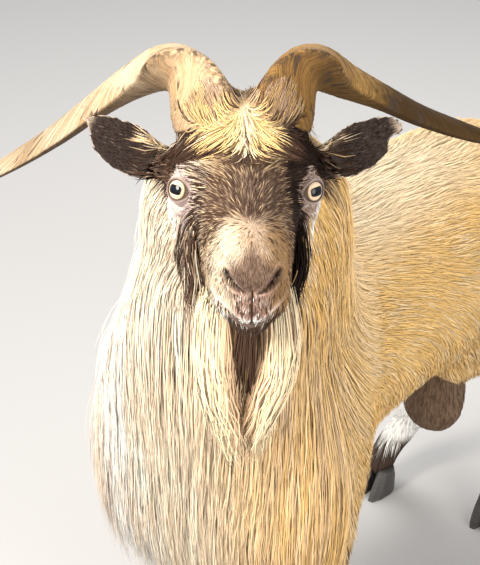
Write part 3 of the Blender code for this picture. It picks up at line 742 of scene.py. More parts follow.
# One row a region: coat depth, tuft length, spacing, tuft width, clumping, wave, hang.
COAT = {
    "muzzle": (0.0015, 0.0070, 0.0020, 0.00070, 0.22, 0.000, 0.0),
    "chin": (0.0030, 0.0150, 0.0023, 0.00085, 0.40, 0.012, 0.25),
    "face": (0.0024, 0.0120, 0.0023, 0.00085, 0.35, 0.010, 0.0),
    "orbit": (0.0006, 0.0055, 0.0017, 0.00050, 0.10, 0.000, 0.0),
    "forelock": (0.0045, 0.0360, 0.0025, 0.00100, 0.45, 0.010, 0.0),
    "horn_root": (0.0010, 0.0140, 0.0025, 0.00085, 0.25, 0.010, 0.0),
    "poll": (0.0060, 0.0480, 0.0035, 0.00100, 0.30, 0.010, 0.3),
    "cheek": (0.0035, 0.0260, 0.0027, 0.00105, 0.45, 0.012, 0.1),
    "ear": (0.0004, 0.0060, 0.0020, 0.00055, 0.15, 0.000, 0.0),
    "ear_tuft": (0.0026, 0.0220, 0.0022, 0.00070, 0.30, 0.006, 0.0),
    "neck": (0.0085, 0.0680, 0.0043, 0.00098, 0.26, 0.005, 0.3),
    "mane": (0.0120, 0.1350, 0.0049, 0.00112, 0.40, 0.009, 1.0),
    "trunk": (0.0060, 0.0430, 0.0047, 0.00108, 0.22, 0.007, 0.1),
    "thigh": (0.0055, 0.0380, 0.0047, 0.00110, 0.30, 0.010, 0.2),
    "leg": (0.0022, 0.0160, 0.0045, 0.00150, 0.30, 0.010, 0.0),
    "tail": (0.0055, 0.0480, 0.0042, 0.00120, 0.35, 0.020, 0.4),
    "scrotum": (0.0014, 0.0130, 0.0048, 0.00110, 0.30, 0.010, 0.1),
}
COAT_COLUMNS = ("depth", "length", "spacing", "width", "clump", "wave", "hang")


def even_out(surface):
    """Smooth the joints between the solids, least on the face and most on the nape."""
    surface.points = spread(surface.points, surface.ends, 10,
                            0.5 - 0.32 * ramp(surface.f, 0.0, 0.05))
    nape = ramp(surface.f, -0.030, -0.055) * ramp(surface.side, 0.085, 0.065) \
        * ramp(surface.u, -0.130, -0.090)
    surface.points = spread(surface.points, surface.ends, 60, 0.5 * nape)


def mane_share(surface):
    """Which skin points belong to the mane's mass, softened at its border."""
    part = node_mesh("chest_mane", 0.0)
    tree = BVHTree.FromBMesh(part)
    part.free()
    low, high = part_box("chest_mane")
    near = np.all((surface.points > np.array(low) - 0.004)
                  & (surface.points < np.array(high) + 0.004), axis=1)
    share = np.zeros(len(surface.points))
    for number in np.flatnonzero(near):
        hit = tree.find_nearest(surface.points[number])
        share[number] = 1.0 if hit[3] < 0.0022 else 0.0
    return spread(share, surface.ends, 8)


def horn_root_share(surface):
    """Which skin points lie on the sleeves that climb the horns."""
    share = np.zeros(len(surface.points))
    for side in SIDES.values():
        centers, _, _, long_half, _ = horn_form(side, np.linspace(0.03, 0.27, 13))
        chain = [(center, radius * 1.12) for center, radius in zip(centers, long_half[:, 0])]
        share = np.maximum(share, ramp(chain_distance(surface.points, chain), 1.09, 0.97))
    return share * ramp(surface.u, 0.040, 0.052)


def ear_share(surface):
    """How far out along either ear each point lies, 0 on the head."""
    share = np.zeros(len(surface.points))
    for side in SIDES.values():
        root, along, _ = ear_frame(side)
        offset = surface.points - root
        t = offset @ along
        gap = np.linalg.norm(offset - t[:, None] * along, axis=1)
        on_ear = ramp(t, 0.008, 0.034) * (gap < 0.034) * (surface.l * side > 0)
        share = np.maximum(share, on_ear)
    return share


def orbit_share(surface):
    """The thinly haired ring of skin round each eye."""
    share = np.zeros(len(surface.points))
    for eye in EYES.values():
        middle = eye + UP * 0.002 + HEAD_FORWARD * 0.002
        reach = np.linalg.norm((surface.points - middle) * (1.0, 1.0, 0.85), axis=1)
        share = np.maximum(share, ramp(reach, EYE_RADIUS + 0.0105, EYE_RADIUS + 0.0060))
    return share


def ear_tuft_share(surface):
    """The long hair at the top of each ear's root."""
    share = np.zeros(len(surface.points))
    for side in SIDES.values():
        root, along, facing = ear_frame(side)
        over = unit(np.cross(along, facing))
        over = over * np.sign(over @ UP)
        offset = surface.points - root
        t, height = offset @ along, offset @ over
        here = ramp(t, 0.044, 0.026) * ramp(height, 0.005, 0.011)
        share = np.maximum(share, here * (surface.l * side > 0))
    return share


def find_regions(surface):
    """Soft shares of the coat's regions, which add up to one at every point."""
    f, side, u = surface.f, surface.side, surface.u
    x, y, z = surface.x, surface.y, surface.z
    ear = ear_share(surface)
    head = ramp(f, -0.112, -0.058) * ramp(u, -0.150, -0.118) * ramp(side, 0.105, 0.085)
    head = head * (1 - ear)
    mane = surface.mane * (1 - head) * (1 - ear)
    rest = (1 - head) * (1 - ear) * (1 - mane)
    tail = rest * np.maximum(ramp(y, 0.336, 0.356) * ramp(z, 0.465, 0.490),
                             ramp(y, 0.385, 0.400))
    bag = rest * ramp(z, 0.318, 0.300) * ramp(y, 0.232, 0.222) * ramp(y, 0.10, 0.12) \
        * ramp(np.abs(x), 0.064, 0.056)
    low = rest * (1 - tail) * (1 - bag)
    leg = low * ramp(z, 0.300, 0.235)
    thigh = (low - leg) * ramp(y, 0.14, 0.20) * ramp(z, 0.47, 0.40)
    neck = (low - leg) * ramp(y + 0.35 * (0.60 - z), -0.150, -0.195)
    trunk = low - leg - thigh - neck
    rise = u - mouth_height(f, side)
    chin = head * ramp(f, 0.060, 0.078) * ramp(rise, 0.0005, -0.0020)
    muzzle = (head - chin) * ramp(f, 0.088, 0.112)
    top = ramp(u, 0.014, 0.032)
    snout = head - muzzle - chin
    forward = 0.018 * ramp(side, 0.022, 0.004)
    forelock = snout * ramp(f - forward, 0.024, 0.000) * top
    poll = (snout - forelock) * ramp(f, -0.045, -0.062)
    cheek = (snout - forelock - poll) * ramp(f, 0.036, 0.006) * ramp(u, 0.000, -0.022)
    face = snout - forelock - poll - cheek
    orbit = head * orbit_share(surface)
    root = (head - orbit) * surface.horn_root
    some_head = np.maximum(head, 1e-6)
    kept = 1 - orbit / some_head - root / some_head
    muzzle, chin, forelock, poll, cheek, face = (
        share * kept for share in (muzzle, chin, forelock, poll, cheek, face))
    tufted = ear * ear_tuft_share(surface)
    surface.regions = {"muzzle": muzzle, "chin": chin, "face": face, "forelock": forelock,
                       "poll": poll, "orbit": orbit, "horn_root": root, "ear_tuft": tufted,
                       "cheek": cheek, "ear": ear - tufted, "neck": neck, "mane": mane,
                       "trunk": trunk, "thigh": thigh, "leg": leg, "tail": tail,
                       "scrotum": bag}
    surface.head = head
    for column, name in enumerate(COAT_COLUMNS):
        blend = sum(share * COAT[region][column]
                    for region, share in surface.regions.items())
        setattr(surface, name, blend)
    whiskered = head * np.exp(-((rise - 0.007) / 0.006) ** 2) * ramp(side, 0.012, 0.020) \
        * ramp(f, 0.055, 0.070)
    surface.length += 0.0130 * whiskered
    surface.depth += 0.0014 * whiskered
    surface.hang += 0.45 * whiskered
    burn = head * ramp(chain_distance(np.stack((f, side, u), axis=1), SIDEBURN), 1.15, 0.75)
    surface.length += 0.0300 * burn
    surface.depth += 0.0012 * burn
    surface.hang += 0.55 * burn
    surface.fetlock = leg * ramp(z, 0.110, 0.090) * ramp(z, 0.040, 0.055)
    surface.length += 0.0200 * surface.fetlock
    surface.depth -= 0.0016 * surface.fetlock
    surface.length -= 0.0340 * tail * ramp(y, 0.425, 0.465)


def opening_angle(turn, side):
    """How far the lids open from the middle of the gaze, for an angle round it."""
    wide, high = math.radians(45), math.radians(38)
    across, upward = np.cos(turn), np.sin(turn)
    wide = np.where(across * side < 0, wide * 1.10, wide)
    high = np.where(upward > 0, high * 0.90, high)
    return (np.abs(across / wide) ** 1.8 + np.abs(upward / high) ** 1.8) ** (-1 / 1.8)


# The way each eye looks: forward, left, up.
GAZE = {"left": (0.76, 0.60, 0.24), "right": (0.71, -0.62, 0.36)}


def gaze_frame(place):
    """Unit vectors along an eye's gaze, level across it and upright across it."""
    forward, left, up = GAZE[place]
    gaze = unit(forward * HEAD_FORWARD + left * HEAD_LEFT + up * UP)
    level = unit(np.cross(UP, gaze))
    return gaze, level, np.cross(gaze, level)


def around_eye(surface, place):
    """Points seen from an eye: offset, distance, turn, angle off the gaze and past the lids."""
    gaze, level, upright = gaze_frame(place)
    offset = surface.points - EYES[place]
    reach = np.linalg.norm(offset, axis=1)
    turn = np.arctan2(offset @ upright, offset @ level)
    angle = np.arccos(np.clip((offset @ gaze) / np.maximum(reach, 1e-9), -1, 1))
    return offset, reach, turn, angle, angle - opening_angle(turn, SIDES[place])


def open_lids(surface):
    """Lay the skin over each eyeball and open it where the eye looks out."""
    for place in SIDES:
        offset, reach, turn, angle, beyond = around_eye(surface, place)
        close = reach < EYE_RADIUS + 0.012
        fold = 0.0010 * np.exp(-((beyond - 0.42) / 0.10) ** 2) * ramp(np.sin(turn), -0.2, 0.5)
        lid = np.maximum(reach, EYE_RADIUS + 0.0009) + fold
        hidden = EYE_RADIUS - 0.0040
        wanted = hidden + (lid - hidden) * ramp(beyond, 0.02, 0.12)
        wanted = np.where(beyond < 0.0, hidden, wanted)
        reach_now = np.where(close & (angle < 1.9), wanted, reach)
        surface.points = EYES[place] + offset * (reach_now / np.maximum(reach, 1e-9))[:, None]


# A nostril's slit: places beside and above the middle between the eyes, and half its width.
NOSTRIL = (((0.0055, -0.0205), 0.0011), ((0.0105, -0.0182), 0.0018),
           ((0.0150, -0.0152), 0.0023), ((0.0187, -0.0115), 0.0027),
           ((0.0203, -0.0075), 0.0022))


def nostril_nearness(surface):
    """Distance from either nostril's curved slit, as a share of its half width."""
    spot = np.stack((surface.side, surface.u), axis=1)
    return chain_distance(spot, NOSTRIL)


def nose_pad(surface):
    """The soft nose between the nostrils, and its bare lower rim."""
    f, side, u = surface.f, surface.side, surface.u
    foot = -0.0186 + 0.56 * np.maximum(side - 0.002, 0)
    top = 0.0045 + 0.0060 * ramp(side, 0.010, 0.0) - 0.0100 * (side / 0.022) ** 2
    whole = ramp(top - u, -0.0065, 0.0040) * ramp(u - foot, -0.0022, 0.0005) \
        * ramp(side, 0.0255, 0.0215) * ramp(f, 0.106, 0.118)
    return whole, whole * ramp(u - foot, 0.0065, 0.0035)


def philtrum(surface):
    """The cleft from between the nostrils down to the mouth."""
    return np.exp(-(surface.side / 0.0009) ** 2) * ramp(surface.u, -0.0520, -0.0480) \
        * ramp(surface.u, -0.0175, -0.0205) * ramp(surface.f, 0.108, 0.120)


def mouth_height(f, side):
    """The height of the line between the lips, along the front and down the sides."""
    return -0.0500 + 0.0150 * ramp(side, 0.002, 0.028) - 0.0100 * ramp(f, 0.112, 0.070)


def narrow_muzzle(surface):
    """Draw in the lips' sides and the chin under the long hair of the jaw."""
    f, u = surface.f, surface.u
    squeeze = 0.10 * ramp(f, 0.070, 0.105) * ramp(u, 0.000, -0.030) \
        + 0.14 * ramp(f, 0.075, 0.100) * ramp(u, -0.044, -0.062)
    surface.points = surface.points - np.outer(squeeze * surface.l * surface.head, HEAD_LEFT)


def sculpt_muzzle(surface):
    """Press in the nostrils, the cleft and the mouth, and raise the nose's wings and lips."""
    f, side, u = surface.f, surface.side, surface.u
    front = ramp(f, 0.108, 0.120)
    near = nostril_nearness(surface)
    pressed = -0.0080 * np.exp(-(near / 1.0) ** 4) * front
    above = ramp(u + 0.0215 - 0.55 * side, -0.001, 0.002)
    wing = (0.0006 + 0.0014 * above) * np.exp(-((near - 2.2) / 0.8) ** 2) * front
    cleft = -0.0022 * philtrum(surface)
    rise = u - mouth_height(f, side)
    jaws = ramp(f, 0.066, 0.080) * surface.head
    line = -0.0034 * np.exp(-(rise / 0.0014) ** 2) * jaws
    lips = (0.0016 * np.exp(-((rise - 0.0042) / 0.0026) ** 2)
            + 0.0012 * np.exp(-((rise + 0.0042) / 0.0024) ** 2)) * jaws
    shift = pressed + wing + cleft + line + lips
    surface.points = surface.points + surface.normals * shift[:, None]


MANE_HEM = 0.285
HEM_LIFT = 0.62


def inset_skin(surface):
    """Sink the surface by the coat's depth, with the mane's mass drawn up off its hem."""
    below = np.where(surface.z < MANE_HEM, (MANE_HEM - surface.z) * HEM_LIFT, 0.0)
    raised = below * surface.mane
    smooth_normals = unit(spread(surface.normals, surface.ends, 12))
    surface.points = surface.points - smooth_normals * surface.depth[:, None]
    surface.points[:, 2] += raised


def whorl_lie(surface):
    """The way the hair lies on the face, fanning out from a whorl above the nose."""
    whorl = head_point(0.100, 0.0, 0.020)
    away = surface.points - whorl
    lift = np.outer(ramp(surface.side, 0.010, 0.05), -UP * 0.035 - HEAD_FORWARD * 0.035)
    outward = np.outer(np.sign(surface.l) * ramp(surface.f, 0.055, 0.020) * 0.06
                       * ramp(surface.side, 0.002, 0.014), HEAD_LEFT)
    return unit(away + lift + outward)


def forelock_lie(surface):
    """The forelock falls from the poll forwards along its parting and outwards beside it."""
    outward = np.clip(surface.l / 0.016, -1, 1)
    forward = 0.95 - 0.55 * ramp(surface.side, 0.006, 0.030)
    return unit(np.outer(forward, HEAD_FORWARD) + np.outer(outward, HEAD_LEFT)
                + np.outer(np.full(len(outward), -0.10), UP))


def flatten(vectors, normals):
    """Take the part along the normals out of the vectors, in place."""
    vectors -= normals * np.sum(vectors * normals, axis=1, keepdims=True)


def find_lie(surface):
    """The way the hair lies at every point, along the surface."""
    shares = surface.regions
    points = surface.points
    count = len(points)

    def everywhere(vector):
        return np.tile(unit(vector), (count, 1))

    back = -HEAD_FORWARD
    ears = np.zeros((count, 3))
    for side in SIDES.values():
        _, along, _ = ear_frame(side)
        ears[surface.l * side > 0] = along
    outward = unit(np.stack((surface.x, surface.y + 0.20, np.zeros(count)), axis=1))
    toward_tail = everywhere((0.0, 0.93, -0.36))
    falling = np.outer(ramp(surface.z, 0.52, 0.36), (0.0, -0.35, -0.75))
    lies = {
        "muzzle": whorl_lie(surface),
        "chin": everywhere(back * 0.45 - UP),
        "face": whorl_lie(surface),
        "forelock": forelock_lie(surface),
        "orbit": whorl_lie(surface),
        "horn_root": unit(UP - 0.5 * HEAD_FORWARD + 0.4 * np.outer(np.sign(surface.l),
                                                                   HEAD_LEFT)),
        "ear_tuft": ears,
        "poll": everywhere(back * 0.7 - UP * 0.7),
        "cheek": everywhere(back * 0.55 - UP * 0.85),
        "ear": ears,
        "neck": unit(everywhere((0.0, 0.45, -0.88)) + 0.20 * outward),
        "mane": unit(everywhere(-UP) + 0.10 * outward),
        "trunk": unit(toward_tail + falling),
        "thigh": everywhere((0.0, 0.22, -0.97)),
        "leg": unit(everywhere((0.0, 0.10, -1.0)) + np.outer(
            surface.fetlock * ramp(surface.normals[:, 1], 0.0, 0.4), (0.0, 0.75, 0.0))),
        "tail": everywhere((0.0, 0.75, -0.45)),
        "scrotum": everywhere(-UP),
    }
    total = sum(shares[name][:, None] * lie for name, lie in lies.items())
    flatten(total, surface.normals)
    total = unit(spread(total, surface.ends, 4))
    across = np.cross(surface.normals, total)
    loose = 0.16 * (shares["trunk"] + shares["neck"] + shares["thigh"]) + 0.26 * shares["mane"] \
        + 0.12 * shares["forelock"] + 0.08 * shares["face"]
    sway = loose * (wobble(points, 0.090, 5) + 0.5 * wobble(points, 0.030, 6))
    total = total + across * sway[:, None]
    flatten(total, surface.normals)
    surface.lie = unit(total)


# ---------- markings, with painted light and shade

WHITE = np.array((0.95, 0.93, 0.88))
CREAM = np.array((0.91, 0.80, 0.62))
PEACH = np.array((0.80, 0.60, 0.43))
TAN = np.array((0.70, 0.45, 0.20))
SAND = np.array((0.86, 0.545, 0.20))
GOLD = np.array((0.86, 0.60, 0.26))
UMBER = np.array((0.26, 0.17, 0.11))
BROWN = np.array((0.095, 0.052, 0.034))
BLACK = np.array((0.007, 0.004, 0.003))
MAUVE = np.array((0.48, 0.35, 0.31))
LID = np.array((0.62, 0.48, 0.42))
NOSE = np.array((0.110, 0.062, 0.044))
# a painted highlight along the nostrils' rims
NOSTRIL_HIGHLIGHT = np.array((0.46, 0.34, 0.32))
LIP = np.array((0.36, 0.21, 0.16))
EAR_DARK = np.array((0.013, 0.005, 0.003))
EAR_RIM = np.array((0.66, 0.54, 0.44))
BAG = np.array((0.115, 0.072, 0.045))
BEARD_PALE = np.array((0.88, 0.73, 0.48))
BEARD_WARM = np.array((0.70, 0.47, 0.29))
# painted shade: the skin and the tufts' roots darker than the hair, as under and among the hair
UNDER_HAIR_SHADE = 0.94       # roots and skin against the colour of the hair

# Chains of balls that bound the markings and painted shade, each with its centre and its radius.
# The places are forward, beside and up from the middle between the eyes, and BESIDE_BEARD's are
# beside and up. The left band counts only to the left, where it is partly painted shade; the
# others count to both sides.
BAND = (((-0.046, 0.078, 0.004), 0.017), ((-0.040, 0.055, 0.022), 0.018),
        ((0.000, 0.048, 0.031), 0.016), ((0.024, 0.038, 0.018), 0.016),
        ((0.032, 0.041, -0.008), 0.019), ((0.030, 0.047, -0.034), 0.031),
        ((0.020, 0.050, -0.064), 0.036), ((0.014, 0.047, -0.094), 0.033))
SHADED_LEFT_BAND = (((-0.034, 0.058, 0.030), 0.022), ((0.000, 0.050, 0.036), 0.021),
             ((0.030, 0.044, 0.020), 0.019), ((0.045, 0.045, -0.010), 0.019),
             ((0.052, 0.045, -0.035), 0.018), ((0.056, 0.042, -0.060), 0.016))
SIDEBURN = (((0.026, 0.048, -0.030), 0.024), ((0.016, 0.050, -0.068), 0.030))
BESIDE_BEARD = (((0.030, -0.040), 0.022), ((0.028, -0.090), 0.026),
                ((0.014, -0.150), 0.022), ((0.004, -0.200), 0.012))
CHEEK_STRIPE = (((-0.012, 0.062, -0.012), 0.007), ((-0.006, 0.062, -0.026), 0.010),
                ((-0.004, 0.061, -0.044), 0.007))
CHEEK_LINE = (((-0.030, 0.070, 0.004), 0.005), ((-0.022, 0.066, -0.020), 0.0035),
              ((-0.020, 0.064, -0.060), 0.0035))


def paint_over(base, color, share):
    return base + (np.asarray(color) - base) * share[:, None]


class HairPaint:
    """Hair colours, and painted light and shade, laid one over another: cover changes the main
    one, mingle the second one, and darken raises the share of dark hairs to at least what it is
    given."""

    def __init__(self, count):
        self.main = np.tile(SAND, (count, 1))
        self.second = np.tile(SAND * 0.5 + CREAM * 0.5, (count, 1))
        self.second_share = np.full(count, 0.30)
        self.dark_share = np.zeros(count)

    def cover(self, color, share):
        self.main = paint_over(self.main, color, share)

    def mingle(self, color, share):
        self.second = paint_over(self.second, color, share)

    def darken(self, share):
        self.dark_share = np.maximum(self.dark_share, share)


def paint_body_with_light_and_shade(hair_paint, surface, ragged):
    """A sandy body with a pale back, darker towards the belly as painted shade; the front is
    white on its lit right and sandy on its shaded left, partly its own colours and partly
    painted light and shade, with painted shade on the mane beside the beard.
    """
    shares, x, y, z = surface.regions, surface.x, surface.y, surface.z
    left = ramp(x + 0.010 * ragged, 0.015, 0.135)
    right = ramp(x + 0.008 * ragged, -0.015, -0.075)
    back_line = ramp(z, 0.54, 0.60) * ramp(y, -0.20, -0.12)
    hair_paint.cover(CREAM, 0.75 * back_line)
    # painted shade: the trunk darker towards the belly
    hair_paint.cover(TAN, 0.60 * ramp(z, 0.46, 0.33) * shares["trunk"])
    hair_paint.cover(TAN, shares["thigh"] * 0.8)
    front = shares["neck"] + shares["mane"] + shares["cheek"] + shares["poll"]
    hair_paint.cover(CREAM, front)
    # the front whiter on the lit right and sandier on the shaded left: partly its own colours,
    # partly painted light and shade
    hair_paint.cover(WHITE, front * right)
    hair_paint.cover(SAND * 0.98, front * left)
    streak = ramp(wobble(surface.points * (1.0, 1.0, 0.25), 0.035, 13), -0.1, 0.9)
    hair_paint.cover(PEACH, shares["mane"] * streak * 0.55)
    # the mane tanner on its shaded left, partly painted shade
    hair_paint.cover(TAN, shares["mane"] * left * (0.25 + 0.4 * streak))
    hair_paint.cover(PEACH * 0.72, shares["mane"] * ramp(x, -0.085, -0.125) * 0.8)
    across = np.stack((surface.side, surface.u), axis=1)
    beside = ramp(chain_distance(across, BESIDE_BEARD), 1.45, 1.0)
    # painted shade on the mane beside the beard
    shaded = front * beside * ramp(surface.f, -0.095, -0.065) * 0.55
    hair_paint.cover((0.60, 0.47, 0.38), shaded)
    hair_paint.mingle(PEACH, front * 0.55)
    # the second colour paler on the lit right, partly painted light
    hair_paint.mingle(CREAM, front * right * 0.6)


def paint_snout_with_light_and_shade(hair_paint, surface, ragged):
    """The face, with dark hairs mixed in: paler on its lit right and browner on its shaded left,
    partly its own colours and partly painted light and shade.
    """
    f, l, shares = surface.f, surface.l, surface.regions
    snout = shares["face"] + shares["muzzle"] + shares["chin"]
    hair_paint.cover(PEACH * 0.62, snout)
    # paler towards the nose on the lit right, partly painted light
    hair_paint.cover((0.68, 0.57, 0.44), snout * ramp(l + 0.006 * ragged, -0.004, -0.020)
              * ramp(f + 0.006 * ragged, 0.074, 0.092))
    # browner on the shaded left, the second colour too, partly painted shade
    hair_paint.cover((0.37, 0.205, 0.075), snout * ramp(l + 0.004 * ragged, 0.002, 0.018) * 0.85)
    hair_paint.mingle((0.44, 0.27, 0.14), snout * ramp(l, -0.020, 0.0))
    hair_paint.second_share += 0.15 * snout * ramp(f, 0.100, 0.080)
    # dark hairs, more on the shaded left as painted shade, and more towards the nose
    hair_paint.dark_share += snout * (0.06 + 0.16 * ramp(l, -0.004, 0.008)
                               + 0.30 * ramp(f, 0.112, 0.084))
    return snout


def paint_forelock_with_shade(hair_paint, surface, ragged):
    """The golden forelock with its pale parting and dark ends, darker on its shaded left partly
    as painted shade, and the horns' roots.
    """
    f, l, side, u = surface.f, surface.l, surface.side, surface.u
    lock, root = surface.regions["forelock"], surface.regions["horn_root"]
    hair_paint.cover(GOLD, lock)
    hair_paint.mingle(CREAM, lock)
    parting = ramp(side, 0.005, 0.001) * lock
    hair_paint.cover(CREAM, parting * 0.6)
    hair_paint.second_share -= 0.14 * lock
    gold_end = 0.040 - 1.70 * side
    hair_paint.dark_share += lock * (
        0.08 + 0.14 * ramp(side, 0.014, 0.006)
        + 0.80 * ramp(f + 0.008 * ragged - gold_end, -0.034, 0.004)
        # more dark hairs on the shaded left, partly painted shade
        + 0.85 * ramp(l + 0.005 * ragged, 0.014, 0.028)
        + 0.45 * ramp(side + 0.005 * ragged, 0.040, 0.056))
    hair_paint.cover(GOLD * 0.80, root)
    hair_paint.cover((0.50, 0.38, 0.27), root * ramp(u + 0.004 * ragged, 0.056, 0.078)
              * ramp(l, 0.010, -0.010))
    hair_paint.cover((0.42, 0.26, 0.11), root * ramp(l, -0.010, 0.010))
    hair_paint.mingle(UMBER * 1.3, root)
    hair_paint.second_share += 0.2 * root
    hair_paint.dark_share += root * (0.14 + 0.40 * ramp(side, 0.022, 0.010))


def paint_nose_with_shade(hair_paint, surface, ragged, snout):
    """The dark patch between the eyes, the nose, painted shade in the hair round the nostrils,
    and the upper lip.
    """
    f, side, u, shares = surface.f, surface.side, surface.u, surface.regions
    face = shares["face"] + shares["muzzle"] + shares["forelock"]
    brow = ((f - 0.052) / 0.044) ** 2 + (side / 0.040) ** 2 + 0.16 * ragged
    patch = ramp(brow, 1.25, 0.62) * face
    hair_paint.cover(UMBER * 0.85, patch * 0.92)
    hair_paint.mingle((0.48, 0.33, 0.19), patch)
    hair_paint.darken(0.68 * patch)
    under_gold = snout * ramp(f + 0.008 * ragged, 0.048, 0.024) * ramp(side, 0.034, 0.020)
    hair_paint.cover((0.60, 0.41, 0.20), under_gold * 0.6)
    hair_paint.dark_share *= 1 - 0.25 * under_gold
    nose = nose_pad(surface)[0] * snout
    hair_paint.cover((0.125, 0.075, 0.050), nose * 0.95)
    hair_paint.mingle((0.27, 0.17, 0.12), nose)
    hair_paint.dark_share = hair_paint.dark_share * (1 - nose) + 0.16 * nose
    # painted shade: darker hair round the nostrils
    nostril_shade = ramp(nostril_nearness(surface), 2.3, 1.5) * ramp(f, 0.104, 0.114) * (1 - nose)
    hair_paint.cover((0.14, 0.085, 0.060), snout * nostril_shade * 0.8)
    hair_paint.darken(0.3 * snout * nostril_shade)
    upper_lip = snout * ramp(side, 0.018, 0.008) * ramp(u, -0.018, -0.024)
    hair_paint.cover((0.32, 0.19, 0.135), upper_lip * 0.85)
    hair_paint.mingle(WHITE, upper_lip)


def paint_band_with_sheen_and_shade(hair_paint, surface, ragged):
    """The dark band from the ears round the eyes to the jaw, reaching further on the shaded left
    partly as painted shade and greyed by painted sheen on the lit right, and the chin and mouth.
    """
    f, l, side, u = surface.f, surface.l, surface.side, surface.u
    root, chin = surface.regions["horn_root"], surface.regions["chin"]
    on_head = ramp(surface.head, 0.3, 0.7)
    to_right = ramp(l, 0.010, -0.010)
    band = ramp(chain_distance(surface.spot, BAND) + 0.16 * ragged, 1.12, 0.84)
    band = band * on_head
    # the band's extra reach on the shaded left, partly painted shade
    left_spot = np.stack((f, l, u), axis=1)
    on_left = ramp(chain_distance(left_spot, SHADED_LEFT_BAND) + 0.16 * ragged, 1.10, 0.86)
    band = np.maximum(band, on_left * on_head)
    band = band * (1 - root)
    band = band * (1 - 0.50 * ramp(u + 0.006 * ragged, -0.080, -0.112) * to_right)
    # painted sheen: the black band lighter and greyer on the lit right
    band_sheen = ramp(l, 0.02, -0.02) * (0.6 + 0.4 * ramp(u, -0.030, 0.000))
    hair_paint.darken((0.97 - 0.34 * band_sheen) * band)
    hair_paint.cover((0.38, 0.30, 0.25), band * band_sheen)
    hair_paint.darken(chin * (0.88 - 0.55 * ramp(side, 0.016, 0.024) * to_right))
    hair_paint.cover(WHITE, chin * ramp(side, 0.014, 0.022) * to_right)
    speckle = ramp(u, -0.014, -0.028) * ramp(f, 0.090, 0.110) * surface.head
    hair_paint.darken(0.40 * speckle)
    over_mouth = u - mouth_height(f, side)
    edge = np.exp(-((over_mouth - 0.003) / 0.0026) ** 2) * ramp(f, 0.098, 0.115) \
        * ramp(over_mouth, -0.0004, 0.0012)
    hair_paint.cover(WHITE, edge * ramp(l, 0.026, 0.014))
    hair_paint.dark_share *= 1 - 0.8 * edge * ramp(side, 0.022, 0.014)
    cleft = philtrum(surface)
    hair_paint.cover(BLACK * 2, cleft)
    hair_paint.darken(0.95 * ramp(cleft, 0.3, 0.6))
    return band


def paint_cheeks_with_shade(hair_paint, surface, ragged):
    """The white stripe and the dark line behind each eye, its lids, browner on the shaded left
    as painted shade, and the dark crown.
    """
    f, l, shares = surface.f, surface.l, surface.regions
    stripe = ramp(chain_distance(surface.spot, CHEEK_STRIPE) + 0.10 * ragged, 1.15, 0.85)
    hair_paint.cover(WHITE, stripe * surface.head)
    hair_paint.mingle(WHITE, stripe * surface.head)
    hair_paint.dark_share *= 1 - stripe
    line = ramp(chain_distance(surface.spot, CHEEK_LINE) + 0.2 * ragged, 1.3, 0.7)
    hair_paint.darken(0.8 * line * ramp(surface.head + shares["neck"], 0.3, 0.7))
    orbit = shares["orbit"]
    hair_paint.cover(LID * 1.05, orbit)
    hair_paint.cover(MAUVE * 0.75, orbit * ramp(f, 0.004, 0.016))
    # painted shade: the ring round the eye browner on the shaded left
    hair_paint.cover((0.27, 0.165, 0.11), orbit * ramp(l, 0.0, 0.02) * 0.85)
    hair_paint.mingle(WHITE, orbit)
    hair_paint.dark_share *= 1 - 0.85 * ramp(orbit, 0.2, 0.9)
    crown = ramp(f, -0.052, -0.064) * ramp(surface.side, 0.034, 0.022) \
        * ramp(surface.u, 0.026, 0.038)
    hair_paint.darken(0.75 * crown * surface.head)


def dye_ears(hair_paint, surface, ragged):
    """Ears dark in the hollow and at the root, with pale rims, backs and tips."""
    shares, count = surface.regions, len(ragged)
    ear, tufted = shares["ear"], shares["ear_tuft"]
    hair_paint.cover((0.60, 0.40, 0.19), tufted)
    hair_paint.mingle(CREAM, tufted)
    hair_paint.second_share += 0.15 * tufted
    hair_paint.dark_share = hair_paint.dark_share * (1 - tufted) + 0.15 * tufted
    hollow, along_ear, ear_base = np.zeros(count), np.zeros(count), np.zeros(count)
    for ear_side in SIDES.values():
        root, along, facing = ear_frame(ear_side)
        gap = np.linalg.norm(surface.points - root - 0.006 * along, axis=1)
        ear_base = np.maximum(ear_base, ramp(gap + 0.003 * ragged, 0.030, 0.020))
        mine = surface.l * ear_side > 0
        hollow[mine] = (surface.normals @ facing)[mine]
        along_ear[mine] = ((surface.points - root) @ along / EAR_LENGTH)[mine]
    hair_paint.cover(PEACH * 0.72, ear)
    hair_paint.cover(EAR_RIM, ear * ramp(np.abs(hollow), 0.85, 0.50))
    hair_paint.mingle(EAR_RIM * 0.5, ear)
    ear_base = ear_base * (1 - tufted) * (1 - shares["orbit"])
    hair_paint.cover(BROWN, ear_base)
    hair_paint.mingle(UMBER, ear_base)
    hair_paint.darken(0.7 * ear_base)
    inside = ear * ramp(hollow, 0.50, 0.78)
    hair_paint.cover(EAR_DARK * 2, ear * ramp(along_ear, 0.30, 0.18))
    tip = ramp(along_ear, 0.86, 0.98)
    hair_paint.cover(EAR_DARK, inside * (1 - tip))
    hair_paint.second_share = np.where(ear > 0.5, 0.04 + 0.3 * tip, hair_paint.second_share)
    hair_paint.dark_share = np.where(ear > 0.5, 0.0, hair_paint.dark_share)


